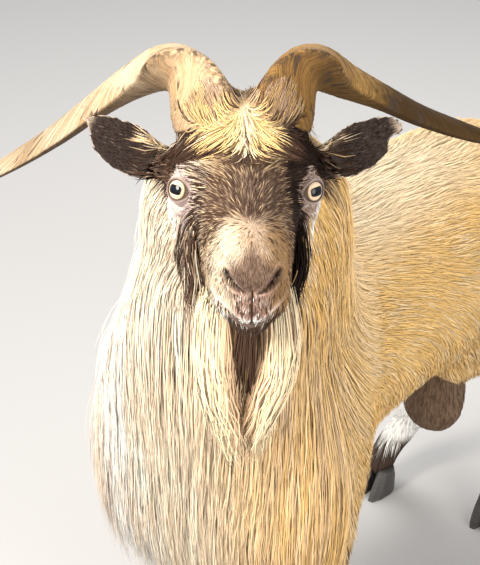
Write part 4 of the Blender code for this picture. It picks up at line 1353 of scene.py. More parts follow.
def paint_legs_with_shade(hair_paint, surface, ragged):
    """Dark legs with a white shin, dimmed as painted shade, the scrotum, and the cream tail."""
    shares, z = surface.regions, surface.z
    leg = ramp(shares["leg"] + 0.20 * ragged, 0.30, 0.75)
    forward_face = surface.normals[:, 1] < 0.15
    hair_paint.cover(BROWN * 1.3, leg)
    hair_paint.cover(BLACK * 2, leg * ramp(z, 0.20, 0.15))
    shin = leg * ramp(z, 0.185, 0.165) * ramp(z, 0.070, 0.085) * forward_face
    # painted shade: the shin's white dimmed
    hair_paint.cover(WHITE * 0.75, shin)
    hair_paint.mingle(BROWN, leg * (1 - shin))
    hair_paint.mingle(WHITE, shin)
    hair_paint.dark_share = np.where(leg > 0.5, 0.10 * (1 - shin), hair_paint.dark_share)
    hair_paint.cover(BAG, shares["scrotum"])
    hair_paint.mingle(BAG * 2.4, shares["scrotum"])
    hair_paint.cover(CREAM, shares["tail"] * 0.8)
    hair_paint.mingle(SAND, shares["tail"])
    hair_paint.dark_share *= 1 - shares["tail"]


def find_colors(surface):
    """Each point's main hair colour, second colour, its share, and the share of dark hairs."""
    ragged = wobble(surface.points, 0.020, 11) + 0.5 * wobble(surface.points, 0.007, 12)
    surface.spot = np.stack((surface.f, surface.side, surface.u), axis=1)
    hair_paint = HairPaint(len(ragged))
    paint_body_with_light_and_shade(hair_paint, surface, ragged)
    snout = paint_snout_with_light_and_shade(hair_paint, surface, ragged)
    paint_forelock_with_shade(hair_paint, surface, ragged)
    paint_nose_with_shade(hair_paint, surface, ragged, snout)
    band = paint_band_with_sheen_and_shade(hair_paint, surface, ragged)
    paint_cheeks_with_shade(hair_paint, surface, ragged)
    dye_ears(hair_paint, surface, ragged)
    paint_legs_with_shade(hair_paint, surface, ragged)
    surface.main, surface.second = hair_paint.main, hair_paint.second
    surface.second_share, surface.dark_share = hair_paint.second_share, hair_paint.dark_share
    # dark hairs brown outside the band, and brown on the lit right as painted sheen
    sheen_and_brown = np.maximum(0.55 * ramp(surface.l, 0.012, -0.012), np.clip(1.15 - band, 0, 1))
    surface.dark = paint_over(np.tile(BLACK, (len(ragged), 1)), BROWN, sheen_and_brown * 0.9)


def find_bare(surface):
    """Bare skin: the nose between and above the nostrils, the lips' rims, and the lids."""
    f, side, u = surface.f, surface.side, surface.u
    whole, pad = nose_pad(surface)
    lip = ramp(side, 0.024, 0.010) * ramp(u, -0.047, -0.041) * ramp(u, -0.012, -0.020) \
        * (1 - whole) * ramp(f, 0.118, 0.126) * 0.8
    seam = np.exp(-((u - mouth_height(f, side)) / 0.0016) ** 2) * ramp(f, 0.076, 0.086)
    ring = np.zeros(len(f))
    for place in SIDES:
        _, reach, _, _, beyond = around_eye(surface, place)
        ring = np.maximum(ring, ramp(beyond, 0.30, 0.18) * (reach < EYE_RADIUS + 0.006))
    surface.pad, surface.lip_share, surface.lid = pad, lip, ring
    surface.seam = seam
    surface.bare = np.clip(np.maximum.reduce((pad, lip * 0.4, seam * 0.9, ring)), 0, 1)


def skin_colors(surface):
    """The coat's mean colour, a little darker as painted shade under the hair, with the bare
    parts painted over.
    """
    color = surface.main * (1 - surface.second_share[:, None]) \
        + surface.second * surface.second_share[:, None]
    color = color + (surface.dark - color) * surface.dark_share[:, None]
    color = color * UNDER_HAIR_SHADE
    thin = np.maximum(surface.lid, surface.regions["orbit"] * 0.8)
    # the lids and the ring round the eye mauve on the right and brown on the shaded left, the
    # brown as painted shade
    color = paint_over(color, MAUVE * 0.9, thin * ramp(surface.l, 0.01, -0.01))
    color = paint_over(color, (0.25, 0.16, 0.12), thin * ramp(surface.l, -0.01, 0.01))
    color = paint_over(color, LIP, surface.lip_share)
    color = paint_over(color, NOSE, surface.pad)
    # painted highlight: pale pink along the nostrils' rims on the lit right
    edge = ramp(nostril_nearness(surface), 2.3, 1.5) * surface.pad
    color = paint_over(color, NOSTRIL_HIGHLIGHT, edge * ramp(surface.l, 0.012, -0.004) * 0.8)
    color = paint_over(color, BLACK, philtrum(surface) * 0.95)
    color = paint_over(color, BLACK, surface.seam)
    # painted shade: the nostrils' hollows darkened towards black
    hollow = np.exp(-(nostril_nearness(surface) / 1.10) ** 2) * ramp(surface.f, 0.106, 0.116)
    return paint_over(color, BLACK * 0.6, hollow)


# ---------- tufts

SPACING_STEP = 0.18     # the even steps, on a logarithmic scale, that spacings fall into
THROWS = 5              # roots thrown for each cell before the spare ones are dropped
PATCH = 0.003           # a tuft's size on its OFBake unwrap


def sow(surface, wanted, rng, closeness=1.0):
    """Spread tuft roots evenly over the wanted part of the skin, by the local spacing."""
    triangles = surface.triangles[wanted[surface.triangles[:, 0]]]
    corners = surface.points[triangles]
    area = np.linalg.norm(np.cross(corners[:, 1] - corners[:, 0],
                                   corners[:, 2] - corners[:, 0]), axis=1) / 2
    gap = surface.spacing[triangles].mean(axis=1) / closeness
    weight = area / gap ** 2
    count = int(weight.sum() * THROWS)
    chosen = rng.choice(len(triangles), count, p=weight / weight.sum())
    share = rng.dirichlet((1.0, 1.0, 1.0), count)
    roots = np.einsum("ij,ijk->ik", share, corners[chosen])
    vertex = triangles[chosen, share.argmax(axis=1)]
    level = np.round(np.log(gap[chosen]) / SPACING_STEP)
    cell = np.exp(level * SPACING_STEP)
    keys = np.column_stack((level, np.floor(roots / cell[:, None]))).astype(np.int64)
    _, kept = np.unique(keys, axis=0, return_index=True)
    kept.sort()
    return roots[kept], vertex[kept]


def grow(surface, roots, vertex, lengths, heights, steps, rng, spray=0.11):
    """Lead each tuft along the skin by the lie, rising to its height and hanging free."""
    count = len(roots)
    paths = np.empty((count, steps, 3))
    ups = np.empty((count, steps, 3))
    normals = surface.normals[vertex]
    paths[:, 0] = roots - normals * 0.0004
    ups[:, 0] = normals
    along = roots.copy()
    turn = rng.normal(0.0, spray, count) * (1 - 0.5 * ramp(lengths, 0.03, 0.07))
    pace = lengths / (steps - 1)
    heading = surface.lie[vertex]
    for step in range(1, steps):
        normals = surface.normals[vertex]
        lie = surface.lie[vertex] + np.cross(normals, surface.lie[vertex]) * turn[:, None]
        hang = surface.hang[vertex][:, None]
        heading = unit(heading * 0.35 + lie * 0.65 * (1 - 0.6 * hang) - UP * hang * 0.75)
        along = along + heading * pace[:, None]
        vertex = surface.nearest(along)
        normals = surface.normals[vertex]
        gap = np.sum((along - surface.points[vertex]) * normals, axis=1)
        pull = np.where(gap < 0, 1.0, 1 - hang[:, 0])
        along = along - normals * (gap * pull)[:, None]
        done = step / (steps - 1)
        rise = heights * (1 - math.exp(-3.2 * done)) * (1 - 0.12 * done)
        paths[:, step] = along + normals * rise[:, None]
        ups[:, step] = normals
    for _ in range(2):
        paths[:, 1:-1] += 0.25 * (paths[:, :-2] + paths[:, 2:] - 2 * paths[:, 1:-1])
    return paths, ups


def gather(paths, roots, strength, size, rng):
    """Draw neighbouring tufts together towards their tips, into locks."""
    count = len(roots)
    guides = np.sort(rng.choice(count, max(count // size, 1), replace=False))
    tree = KDTree(len(guides))
    for number, guide in enumerate(guides):
        tree.insert(roots[guide], number)
    tree.balance()
    find = tree.find
    mine = guides[np.fromiter((find(root)[1] for root in roots), np.int64, count)]
    steps = paths.shape[1]
    pull = (np.arange(steps) / (steps - 1)) ** 1.3
    pull = strength[:, None] * pull[None]
    return paths + (paths[mine] - paths) * pull[..., None], mine


def waved(paths, ups, lock, lengths, size, rng):
    """Let locks wander from side to side, each lock in its own rhythm."""
    count, steps = paths.shape[:2]
    tangent = unit(np.gradient(paths, axis=1))
    across = unit(np.cross(ups, tangent))
    phase = rng.uniform(0, WAVE_TURN, count)[lock] + rng.normal(0, 0.35, count)
    length_of_wave = rng.uniform(0.030, 0.060, count)[lock]
    run = np.linspace(0, 1, steps)[None] * lengths[:, None]
    swing = np.sin(run / length_of_wave[:, None] * WAVE_TURN + phase[:, None])
    swing *= (size * lengths)[:, None] * np.linspace(0, 1, steps)[None] ** 0.7
    return paths + across * swing[..., None]


def tuft_mesh(name, paths, ups, widths, root_colors, tip_colors, spots, thickness=0.26):
    """Closed, tapering, three-sided tufts along the paths, joined into one mesh."""
    count, steps = paths.shape[:2]
    tangent = unit(np.gradient(paths, axis=1))
    across = unit(np.cross(ups, tangent))
    upward = np.cross(tangent, across)
    share = np.arange(steps - 1) / (steps - 1)
    swell = (0.72 + 0.9 * share) * (1 - share ** 2.2) + 0.06
    half = 0.5 * widths[:, None] * swell[None]
    rings = np.empty((count, steps - 1, 3, 3))
    middle = paths[:, :-1]
    rings[:, :, 0] = middle - across[:, :-1] * half[..., None]
    rings[:, :, 1] = middle + across[:, :-1] * half[..., None]
    rings[:, :, 2] = middle + upward[:, :-1] * (half * 2 * thickness)[..., None]
    per_tuft = 3 * (steps - 1) + 1
    points = np.concatenate((rings.reshape(count, -1, 3), paths[:, -1:]), axis=1)

    faces, totals = [], []
    for step in range(steps - 2):
        low, high = 3 * step, 3 * step + 3
        for first, second in ((0, 1), (1, 2), (2, 0)):
            faces += [low + first, low + second, high + second, high + first]
            totals.append(4)
    last, tip = 3 * (steps - 2), 3 * (steps - 1)
    for first, second in ((0, 1), (1, 2), (2, 0)):
        faces += [last + first, last + second, tip]
        totals.append(3)
    faces += [0, 2, 1]
    totals.append(3)
    faces, totals = np.array(faces), np.array(totals)
    corners = (faces[None] + np.arange(count)[:, None] * per_tuft).ravel()
    all_totals = np.tile(totals, count)
    starts = np.concatenate(([0], np.cumsum(all_totals)[:-1]))
    mesh = mesh_from_arrays(name, points.reshape(-1, 3), corners, starts, all_totals)

    run = np.concatenate((np.repeat(share, 3), (1.0,)))
    across_place = np.concatenate((np.tile((0.0, 1.0, 0.5), steps - 1), (0.5,)))
    blend = run[None, :, None] ** 0.8
    colors = root_colors[:, None] * (1 - blend) + tip_colors[:, None] * blend
    set_color(mesh, "coat_color", colors.reshape(-1, 3))
    body = np.concatenate((np.repeat(ups[:, :-1], 3, axis=1), ups[:, -1:]), axis=1)
    set_vectors(mesh, "body_normal", 0.60 * body)
    local = np.stack((across_place, run), axis=1)[faces]
    set_map(mesh, "OFBake", (spots[:, None] + PATCH * (local[None] - 0.5)).reshape(-1, 2))
    shift = np.stack((np.arange(count) * 0.37 % 7.0, np.arange(count) * 0.61 % 5.0), axis=1)
    set_map(mesh, "Strand", (local[None] + shift[:, None]).reshape(-1, 2))
    return mesh


def tuft_colors(surface, vertex, lock, rng):
    """Root and tip colours: between the main and the second colour, with some dark tufts, and
    the roots darker as painted shade among the hair.
    """
    count = len(vertex)
    lock_pick = rng.uniform(size=count)[lock]
    dark = 0.75 * rng.uniform(size=count) + 0.25 * lock_pick < surface.dark_share[vertex]
    pick = 0.5 * rng.uniform(size=count) + 0.5 * lock_pick
    share = ramp(pick, surface.second_share[vertex] + 0.25, surface.second_share[vertex] - 0.25)
    color = surface.main[vertex] * (1 - share[:, None]) + surface.second[vertex] * share[:, None]
    color[dark] = surface.dark[vertex][dark]
    color *= (1 + rng.normal(0.0, 0.045, count) + 0.045 * rng.normal(size=count)[lock])[:, None]
    color = np.clip(color, 0.003, 0.97)
    return color * UNDER_HAIR_SHADE, np.clip(color * 1.04, 0, 1)


def own_unwrap(points, axis_start, axis_end, reference):
    """Places on the unit square, by the angle round a part's axis and the way along it."""
    along = unit(np.array(axis_end) - np.array(axis_start))
    side = unit(np.cross(along, reference))
    other = np.cross(side, along)
    offset = points - axis_start
    turn = np.arctan2(offset @ side, offset @ other) / (2 * math.pi) + 0.5
    run = offset @ along
    low, high = run.min(), run.max()
    run = (run - low) / max(high - low, 1e-6)
    return np.stack((turn, run), axis=1) * 0.97 + 0.015


# The least and the most of each measure against its region's own.
TUFT_LENGTHS = (0.70, 1.20)
TUFT_HEIGHTS = (0.30, 1.0)
TUFT_WIDTHS = (0.75, 1.25)
STRAY_SHARE = 0.05      # tufts that stand off more than the rest, by 1.7 or 1.9 times
LONG_HAIR = 0.05


def coat_piece(name, surface, wanted, steps, axis, seed, material, lock=7):
    """One piece of coat over the wanted skin points."""
    looks = bpy.context.scene.goat_looks
    rng = np.random.default_rng(seed + looks.seed)
    roots, vertex = sow(surface, wanted, rng, looks.coat_density)
    count = len(roots)
    lengths = surface.length[vertex] * rng.uniform(*TUFT_LENGTHS, count) * looks.coat_length
    lengths *= 1 - surface.regions["forelock"][vertex] * rng.uniform(0.0, 0.60, count)
    heights = surface.depth[vertex] * rng.uniform(*TUFT_HEIGHTS, count)
    stray = np.where(lengths > LONG_HAIR, 1.9, 1.7)
    heights *= np.where(rng.uniform(size=count) < STRAY_SHARE, stray, 1.0)
    paths, ups = grow(surface, roots, vertex, lengths, heights, steps, rng)
    paths, mine = gather(paths, roots, surface.clump[vertex], lock, rng)
    paths = waved(paths, ups, mine, lengths, surface.wave[vertex], rng)
    widths = surface.width[vertex] * rng.uniform(*TUFT_WIDTHS, count)
    root_colors, tip_colors = tuft_colors(surface, vertex, mine, rng)
    spots = own_unwrap(roots, *axis)
    mesh = tuft_mesh(name, paths, ups, widths, root_colors, tip_colors, spots)
    return show(name, mesh, material)


# ---------- the skin and coat, built

# What one operator leaves for the next.
work = {}
BARE_LIMIT = 0.45       # skin barer than this carries no tufts
COAT_PARTING = -0.01    # where the coat's left and right pieces meet, across the trunk
COAT_MIDDLE = 0.02      # where its front and rear pieces meet, along the trunk


def color_property(name, default, description):
    return FloatVectorProperty(name=name, subtype="COLOR", default=default, min=0.0, max=1.0,
                               description=description)


class GoatLooks(bpy.types.PropertyGroup):
    """What a user may change about the goat's looks."""

    coat_length: FloatProperty(name="Coat length", default=1.0, min=0.3, max=2.0,
                               description="Length of the hair against the natural one")
    coat_density: FloatProperty(name="Coat density", default=1.0, min=0.3, max=1.2,
                                description="Closeness of the tufts against the natural one")
    iris_color: color_property("Iris", (0.80, 0.60, 0.42), "Colour of the iris")
    horn_pale: color_property("Horn", (0.76, 0.61, 0.41), "Palest colour of horn")
    hoof_color: color_property("Hooves", (0.045, 0.040, 0.037), "Colour of the hooves")
    seed: IntProperty(name="Seed", default=3, min=0,
                      description="Changes where the tufts stand")


class GOAT_OT_build_skin(bpy.types.Operator):
    """Build the one skin under the coat"""
    bl_idname = "goat.build_skin"
    bl_label = "Build skin"

    def execute(self, context):
        mesh = merged_skin()
        surface = Surface(mesh)
        even_out(surface)
        surface.measure()
        surface.mane = mane_share(surface)
        surface.horn_root = horn_root_share(surface)
        find_regions(surface)
        for change in (inset_skin, open_lids, narrow_muzzle, sculpt_muzzle):
            change(surface)
            surface.measure()
        find_lie(surface)
        find_colors(surface)
        find_bare(surface)
        surface.index()
        surface.write()
        set_color(mesh, "coat_color", skin_colors(surface))
        set_values(mesh, "bare", surface.bare)
        set_values(mesh, "hanging", 1 - surface.regions["trunk"])
        skin = show("goat_skin", mesh, skin_material())
        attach(skin, "root")
        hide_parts(*FLESH)
        work["surface"] = surface
        return {"FINISHED"}


class GOAT_OT_build_coat(bpy.types.Operator):
    """Cover the skin in tufts, region by region"""
    bl_idname = "goat.build_coat"
    bl_label = "Build coat"

    def execute(self, context):
        if "surface" not in work:
            raise RuntimeError("the skin has to be built before the coat")
        surface = work["surface"]
        material = coat_material()
        covered = surface.bare < BARE_LIMIT
        shares = surface.regions

        groups = (("face", "muzzle", "chin", "orbit"), ("forelock", "poll", "horn_root"),
                  ("cheek",), ("neck",), ("mane",), ("trunk", "thigh"), ("leg",), ("tail",),
                  ("ear", "ear_tuft"), ("scrotum",))
        sums = np.stack([sum(shares[name] for name in group) for group in groups])
        winner = sums.argmax(axis=0)

        def mostly(name):
            here = next(number for number, group in enumerate(groups) if name in group)
            return (winner == here) & covered

        nose = head_point(0.14, 0, -0.03)
        nape = head_point(-0.09, 0, -0.01)
        hip = body_point(0.0, 0.30, 0.45)
        chest = body_point(0.0, -0.20, 0.45)
        hem = body_point(-0.015, -0.245, 0.20)
        throat = body_point(0.035, -0.30, 0.66)
        upright = (TRUNK_FOOT, TRUNK_FOOT + UP, HEAD_LEFT)
        spine = (chest, hip, UP)
        face_axis = (nape, nose, UP)
        apron = (throat, hem, np.array((0.0, 1.0, 0.0)))
        left = surface.x > COAT_PARTING
        rear = surface.y > COAT_MIDDLE

        def halves(name, wanted, *rest):
            return ((name + "_left", wanted & left, *rest),
                    (name + "_right", wanted & ~left, *rest))

        pieces = (
            # name, skin points, steps along a tuft, axis of its unwrap, tufts in a lock
            ("coat_face", mostly("face"), 3, face_axis, 5),
            ("coat_forelock", mostly("forelock"), 5, face_axis, 8),
            ("coat_cheeks", mostly("cheek"), 4, face_axis, 7),
            *halves("coat_neck", mostly("neck"), 6, apron, 9),
            *halves("coat_mane", mostly("mane"), 7, apron, 11),
            *halves("coat_side", mostly("trunk") & ~rear, 4, spine, 8),
            *halves("coat_rump", mostly("trunk") & rear, 4, spine, 8),
            ("coat_legs_front", mostly("leg") & ~rear, 3, upright, 5),
            ("coat_legs_rear", mostly("leg") & rear, 3, upright, 5),
            ("coat_tail", mostly("tail"), 5, (hip, hip + UP * 0.1, HEAD_LEFT), 7),
            ("coat_ears", mostly("ear"), 3, (nape, nape + HEAD_LEFT, UP), 4),
            ("coat_scrotum", mostly("scrotum"), 3, upright, 5),
        )
        for seed, (name, wanted, steps, axis, lock) in enumerate(pieces):
            piece = coat_piece(name, surface, wanted, steps, axis, seed * 11, material, lock)
            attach(piece, "root")
            if name == "coat_mane_left":
                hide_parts("chest_mane")
        return {"FINISHED"}


# ---------- the beard

# Rows of the plumes: forward, left, up, half width, half depth.
BEARD = (
    (0.064, 0.023, -0.060, 0.016, 0.023),
    (0.068, 0.0255, -0.092, 0.019, 0.023),
    (0.072, 0.0265, -0.122, 0.019, 0.022),
    (0.071, 0.0225, -0.152, 0.017, 0.018),
    (0.067, 0.014, -0.182, 0.013, 0.013),
    (0.062, 0.007, -0.212, 0.009, 0.010),
    (0.056, 0.003, -0.238, 0.005, 0.008),
)
JAW_CORNER = (
    (0.028, 0.043, -0.028, 0.009, 0.014),
    (0.030, 0.043, -0.056, 0.011, 0.014),
    (0.033, 0.039, -0.082, 0.010, 0.012),
    (0.037, 0.034, -0.108, 0.006, 0.008),
)
UNDER_CHIN = (
    (0.088, 0.0, -0.070, 0.010, 0.014),
    (0.084, 0.0, -0.098, 0.010, 0.012),
    (0.078, 0.0, -0.130, 0.009, 0.010),
    (0.070, 0.0, -0.165, 0.006, 0.007),
)
BEARD_HAIRS = 1130
JAW_CORNER_HAIRS = 250
UNDER_CHIN_HAIRS = 420
PLUME_STEPS = 8


def plume(form, side, count, rng):
    """One plume's hairs, set into the jaw and drawn in towards its tip."""
    start = rng.uniform(0.0, 0.34, count) ** 1.2
    end = np.clip(1.0 - np.abs(rng.normal(0, 0.22, count)), 0.28, 1.0)
    run = np.linspace(0, 1, PLUME_STEPS)[None]
    places = start[:, None] + (end - start)[:, None] * run
    rows = through_rows(form, places)
    angle = rng.uniform(0, 2 * math.pi, count)
    reach = np.sqrt(rng.uniform(0.05, 1.0, count))
    drift = rng.normal(0, 0.30, (count, 1)) * run
    across = np.cos(angle + drift.T).T * reach[:, None] * rows[..., 3]
    deep = np.sin(angle + drift.T).T * reach[:, None] * rows[..., 4]
    fray = rng.normal(0, 0.0050, (count, 1)) * run ** 1.6
    sway = 0.0050 * np.sin(places * 7.5 + side * 0.8) * run
    curl = rng.normal(0, 0.006, (count, 1)) * run ** 1.6
    forward = rows[..., 0] + deep + curl + 0.006 * np.sin(places * 6.0) * run
    left = side * (rows[..., 1] + across) + sway + fray
    height = rows[..., 2] + rng.normal(0, 0.008, (count, 1)) * (0.4 + 0.6 * run) \
        + 0.012 * (1 - reach[:, None]) * (1 - run)
    paths = head_point(forward[..., None], left[..., None], height[..., None])
    ups = unit(np.cos(angle)[:, None, None] * side * HEAD_LEFT
               + np.sin(angle)[:, None, None] * HEAD_FORWARD)
    return paths, np.broadcast_to(ups, paths.shape).copy(), -np.cos(angle) * reach


def beard_hairs(side, rng):
    """One pale plume of the beard: paths, ups, colours and widths."""
    paths, ups, inner = plume(BEARD, side, BEARD_HAIRS, rng)
    paths, lock = gather(paths, paths[:, 0], np.full(BEARD_HAIRS, 0.50), 12, rng)
    lengths = np.linalg.norm(paths[:, -1] - paths[:, 0], axis=1)
    paths = waved(paths, ups, lock, lengths, np.full(BEARD_HAIRS, 0.022), rng)
    pick = (0.5 * rng.uniform(size=BEARD_HAIRS)
            + 0.5 * rng.uniform(size=BEARD_HAIRS)[lock])[:, None]
    share = np.maximum(0.7 * ramp(pick, 0.45, 0.9), ramp(inner, 0.05, 0.60)[:, None])
    color = BEARD_PALE + (BEARD_WARM - BEARD_PALE) * share
    color = color * rng.normal(1.04, 0.05, (BEARD_HAIRS, 1))
    return paths, ups, color, rng.uniform(0.0009, 0.0019, BEARD_HAIRS)


def jaw_corner_hairs(side, rng):
    """The dark hair that hangs from one corner of the jaw, black on the left and mixed with
    brown and pale hairs on the lit right as painted sheen.
    """
    paths, ups, _ = plume(JAW_CORNER, side, JAW_CORNER_HAIRS, rng)
    pick = rng.uniform(size=(JAW_CORNER_HAIRS, 1))
    # painted sheen: brown and pale hairs among the dark on the lit right
    color = np.where(pick < 0.62, BROWN * 0.8, np.where(pick < 0.84, UMBER, CREAM * 0.7))
    if side > 0:
        color = np.where(pick < 0.93, BLACK * 1.5, TAN * 0.5)
    return paths, ups, color, rng.uniform(0.0008, 0.0016, JAW_CORNER_HAIRS)


def under_chin_hairs(rng):
    """The dark hair between the two plumes."""
    count = UNDER_CHIN_HAIRS
    run = np.linspace(0, 1, PLUME_STEPS)
    rows = through_rows(UNDER_CHIN, run[None] * rng.uniform(0.55, 1.0, count)[:, None])
    angle = rng.uniform(0, 2 * math.pi, count)[:, None]
    reach = np.sqrt(rng.uniform(0, 1, count))[:, None]
    forward = rows[..., 0] + np.sin(angle) * reach * rows[..., 4]
    left = np.cos(angle) * reach * rows[..., 3] + rng.normal(0, 0.0030, (count, 1)) * run
    paths = head_point(forward[..., None], left[..., None], rows[..., 2][..., None])
    ups = unit(np.cos(angle)[..., None] * HEAD_LEFT + np.sin(angle)[..., None] * HEAD_FORWARD)
    color = np.where(rng.uniform(size=(count, 1)) < 0.9, BROWN * 0.7, TAN * 0.35)
    return paths, np.broadcast_to(ups, paths.shape), color, rng.uniform(0.0010, 0.0018, count)


class GOAT_OT_build_beard(bpy.types.Operator):
    """Hang the beard's two plumes, and the dark hair between them and at the jaw's corners"""
    bl_idname = "goat.build_beard"
    bl_label = "Build beard"

    def execute(self, context):
        rng = np.random.default_rng(40 + context.scene.goat_looks.seed)
        parts = []
        for side in SIDES.values():
            parts.append(beard_hairs(side, rng))
            parts.append(jaw_corner_hairs(side, rng))
        parts.append(under_chin_hairs(rng))
        paths, ups, color, widths = (np.concatenate(column) for column in zip(*parts))
        color = np.clip(color, 0.004, 0.97)
        spots = own_unwrap(paths[:, 0], head_point(0.07, 0, -0.05),
                           head_point(0.07, 0, -0.20), HEAD_FORWARD)
        # the roots darker as painted shade among the hair
        mesh = tuft_mesh("coat_beard", paths, ups, widths, color * UNDER_HAIR_SHADE,
                         np.clip(color * 1.08, 0, 1), spots)
        piece = show("coat_beard", mesh, bpy.data.materials["goat_hair"])
        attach(piece, "root")
        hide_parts("beard_left", "beard_right")
        return {"FINISHED"}


# ---------- eyes

LID_POINTS = 72


def lid_mesh(place, side):
    """Both lids of one eye as a closed band: wet rim, thick edge, crease and hidden back."""
    gaze, level, upright = gaze_frame(place)
    turns = angles_round(LID_POINTS)
    opening = opening_angle(turns, side)
    upper = ramp(np.sin(turns), -0.1, 0.6)
    rows = (
        # angle beyond the opening, height over the eyeball, extra height of the upper lid
        (-0.010, 0.00015, 0.0), (0.000, 0.0006, 0.0), (0.030, 0.0012, 0.0003),
        (0.080, 0.0018, 0.0006), (0.140, 0.0017, 0.0005), (0.200, 0.0011, 0.0),
        (0.280, 0.0003, 0.0), (0.360, -0.0010, 0.0), (0.280, -0.0024, 0.0),
        (0.110, -0.0018, 0.0),
    )
    rings = np.empty((len(turns), len(rows), 3))
    for column, (beyond, height, extra) in enumerate(rows):
        angle = opening + beyond
        reach = EYE_RADIUS + height + extra * upper
        across = np.cos(turns)[:, None] * level + np.sin(turns)[:, None] * upright
        direction = np.cos(angle)[:, None] * gaze + np.sin(angle)[:, None] * across
        rings[:, column] = EYES[place] + direction * reach[:, None]
    mesh = ring_mesh(f"lids_{place}", rings, closed=True)
    shade = np.tile(np.array([1.0, 1.0, 0.8, 0.45, 0.2] + [0.0] * 5), len(turns))
    color = paint_over(np.tile(LID, (len(shade), 1)), BROWN * 0.6, shade)
    set_color(mesh, "coat_color", color)
    set_values(mesh, "bare", np.ones(len(shade)))
    set_values(mesh, "hanging", np.ones(len(shade)))
    return mesh


IRIS_ANGLE = math.radians(38)
CORNEA_RISE = 0.075


def eyeball_mesh(place):
    """A ball that bulges over the iris, with each point's place against the iris's rim."""
    gaze, level, upright = gaze_frame(place)
    source = bmesh.new()
    bmesh.ops.create_uvsphere(source, u_segments=64, v_segments=40, radius=1.0)
    mesh = as_mesh(source, f"eyeball_{place}")
    ball = points_of(mesh)
    angle = np.arccos(np.clip(ball[:, 2], -1, 1))
    bulge = 1 + CORNEA_RISE * ramp(angle, IRIS_ANGLE * 1.25, IRIS_ANGLE * 0.35)
    reach = EYE_RADIUS * bulge
    direction = ball[:, :1] * level + ball[:, 1:2] * upright + ball[:, 2:] * gaze
    move_points(mesh, EYES[place] + direction * reach[:, None])
    scale = (angle / IRIS_ANGLE) / np.maximum(np.hypot(ball[:, 0], ball[:, 1]), 1e-6)
    flat = np.zeros_like(ball)
    flat[:, :2] = ball[:, :2] * scale[:, None]
    set_vectors(mesh, "iris_place", flat)
    return mesh


class GOAT_OT_build_eyes(bpy.types.Operator):
    """Set in the eyes with their lids"""
    bl_idname = "goat.build_eyes"
    bl_label = "Build eyes"

    def execute(self, context):
        material = eye_material(tuple(context.scene.goat_looks.iris_color))
        for place, side in SIDES.items():
            eye = show(f"eyeball_{place}", eyeball_mesh(place), material)
            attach(eye, "root")
            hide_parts(f"eye_{place}")
            lids = show(f"lids_{place}", lid_mesh(place, side),
                        bpy.data.materials["goat_skin"])
            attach(lids, "root")
        return {"FINISHED"}


# ---------- horns and hooves

class GOAT_OT_build_horns(bpy.types.Operator):
    """Grow the horns"""
    bl_idname = "goat.build_horns"
    bl_label = "Build horns"

    def execute(self, context):
        pale = tuple(context.scene.goat_looks.horn_pale)
        horn_colors_and_shade = {
            # pale, deep and tip colours, and how much painted shade darkens the upper side; the
            # left horn's colours are darker as painted shade
            "right": (pale, (0.44, 0.25, 0.11), (0.080, 0.050, 0.026), 0.30),
            "left": (tuple(share * channel for share, channel in zip((0.66, 0.47, 0.21), pale)),
                     (0.16, 0.074, 0.018), (0.036, 0.017, 0.004), 0.95),
        }
        for place, side in SIDES.items():
            horn = show(f"horn_shell_{place}", horn_mesh(side),
                        horn_material(f"goat_horn_shaded_{place}", *horn_colors_and_shade[place]))
            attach(horn, "root")
            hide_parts(f"horn_{place}")
        return {"FINISHED"}


def dewclaw_mesh(node, surface):
    """A small blunt claw half sunk in the hair behind the foot."""
    vertex = surface.nearest(box_middle(node)[None])[0]
    normal = surface.normals[vertex]
    axis = unit(normal * 0.55 - UP * 0.85)
    across = unit(np.cross(axis, normal))
    other = np.cross(across, axis)
    # Place along the claw and radius there.
    rows = ((-0.0060, 0.0028), (-0.0045, 0.0046), (-0.0015, 0.0053), (0.0020, 0.0050),
            (0.0050, 0.0040), (0.0070, 0.0026), (0.0078, 0.0011))
    turns = angles_round(14)
    round_it = np.cos(turns)[:, None] * across + 0.8 * np.sin(turns)[:, None] * other
    place = surface.points[vertex] + normal * 0.0012
    rings = np.array([place + axis * along + round_it * radius for along, radius in rows])
    return ring_mesh("dewclaw", rings)


class GOAT_OT_dress_hooves(bpy.types.Operator):
    """Give the hooves and dewclaws their finish"""
    bl_idname = "goat.dress_hooves"
    bl_label = "Dress hooves"

    def execute(self, context):
        material = hoof_material(tuple(context.scene.goat_looks.hoof_color))
        for name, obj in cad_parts.items():
            if name.startswith("hoof_"):
                for slot in obj.material_slots:
                    slot.material = material
            elif name.startswith("dewclaw_"):
                claw = show("small_" + name, dewclaw_mesh(name, work["surface"]), material)
                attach(claw, "root")
                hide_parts(name)
        return {"FINISHED"}


# ---------- the stage

CAMERA_TURN = math.radians(35.0)     # round from straight ahead of the trunk, to its left
CAMERA_DISTANCE = 1.28               # level distance from the eyes
CAMERA_HEIGHT = 1.40
CAMERA_DIP = math.radians(29.5)
CAMERA_YAW = math.radians(35.13)
CAMERA_ROLL = math.radians(1.2)
CAMERA_LENS = 72.2


CAMERA_SENSOR = 24.0
CAMERA_NEAR, CAMERA_FAR = 0.05, 60.0
LOOK_AT = HEAD_MIDDLE - UP * 0.22
LIGHTS = (
    # name, distances towards the camera, to its right and up, size, power, colour
    ("key", 1.1, -1.5, 1.25, 1.1, 106.0, (1.0, 0.95, 0.88)),
    ("fill", 1.6, 1.5, 0.5, 1.6, 38.0, (1.0, 0.96, 0.90)),
    ("rim", -1.8, 0.3, 1.7, 1.2, 46.0, (1.0, 0.98, 0.95)),
)
SKY_COLOR = (0.93, 0.96, 1.0, 1.0)
SKY_STRENGTH = 0.84
FLOOR_COLOR = (0.42, 0.41, 0.40)
FLOOR_REACH = 14.0


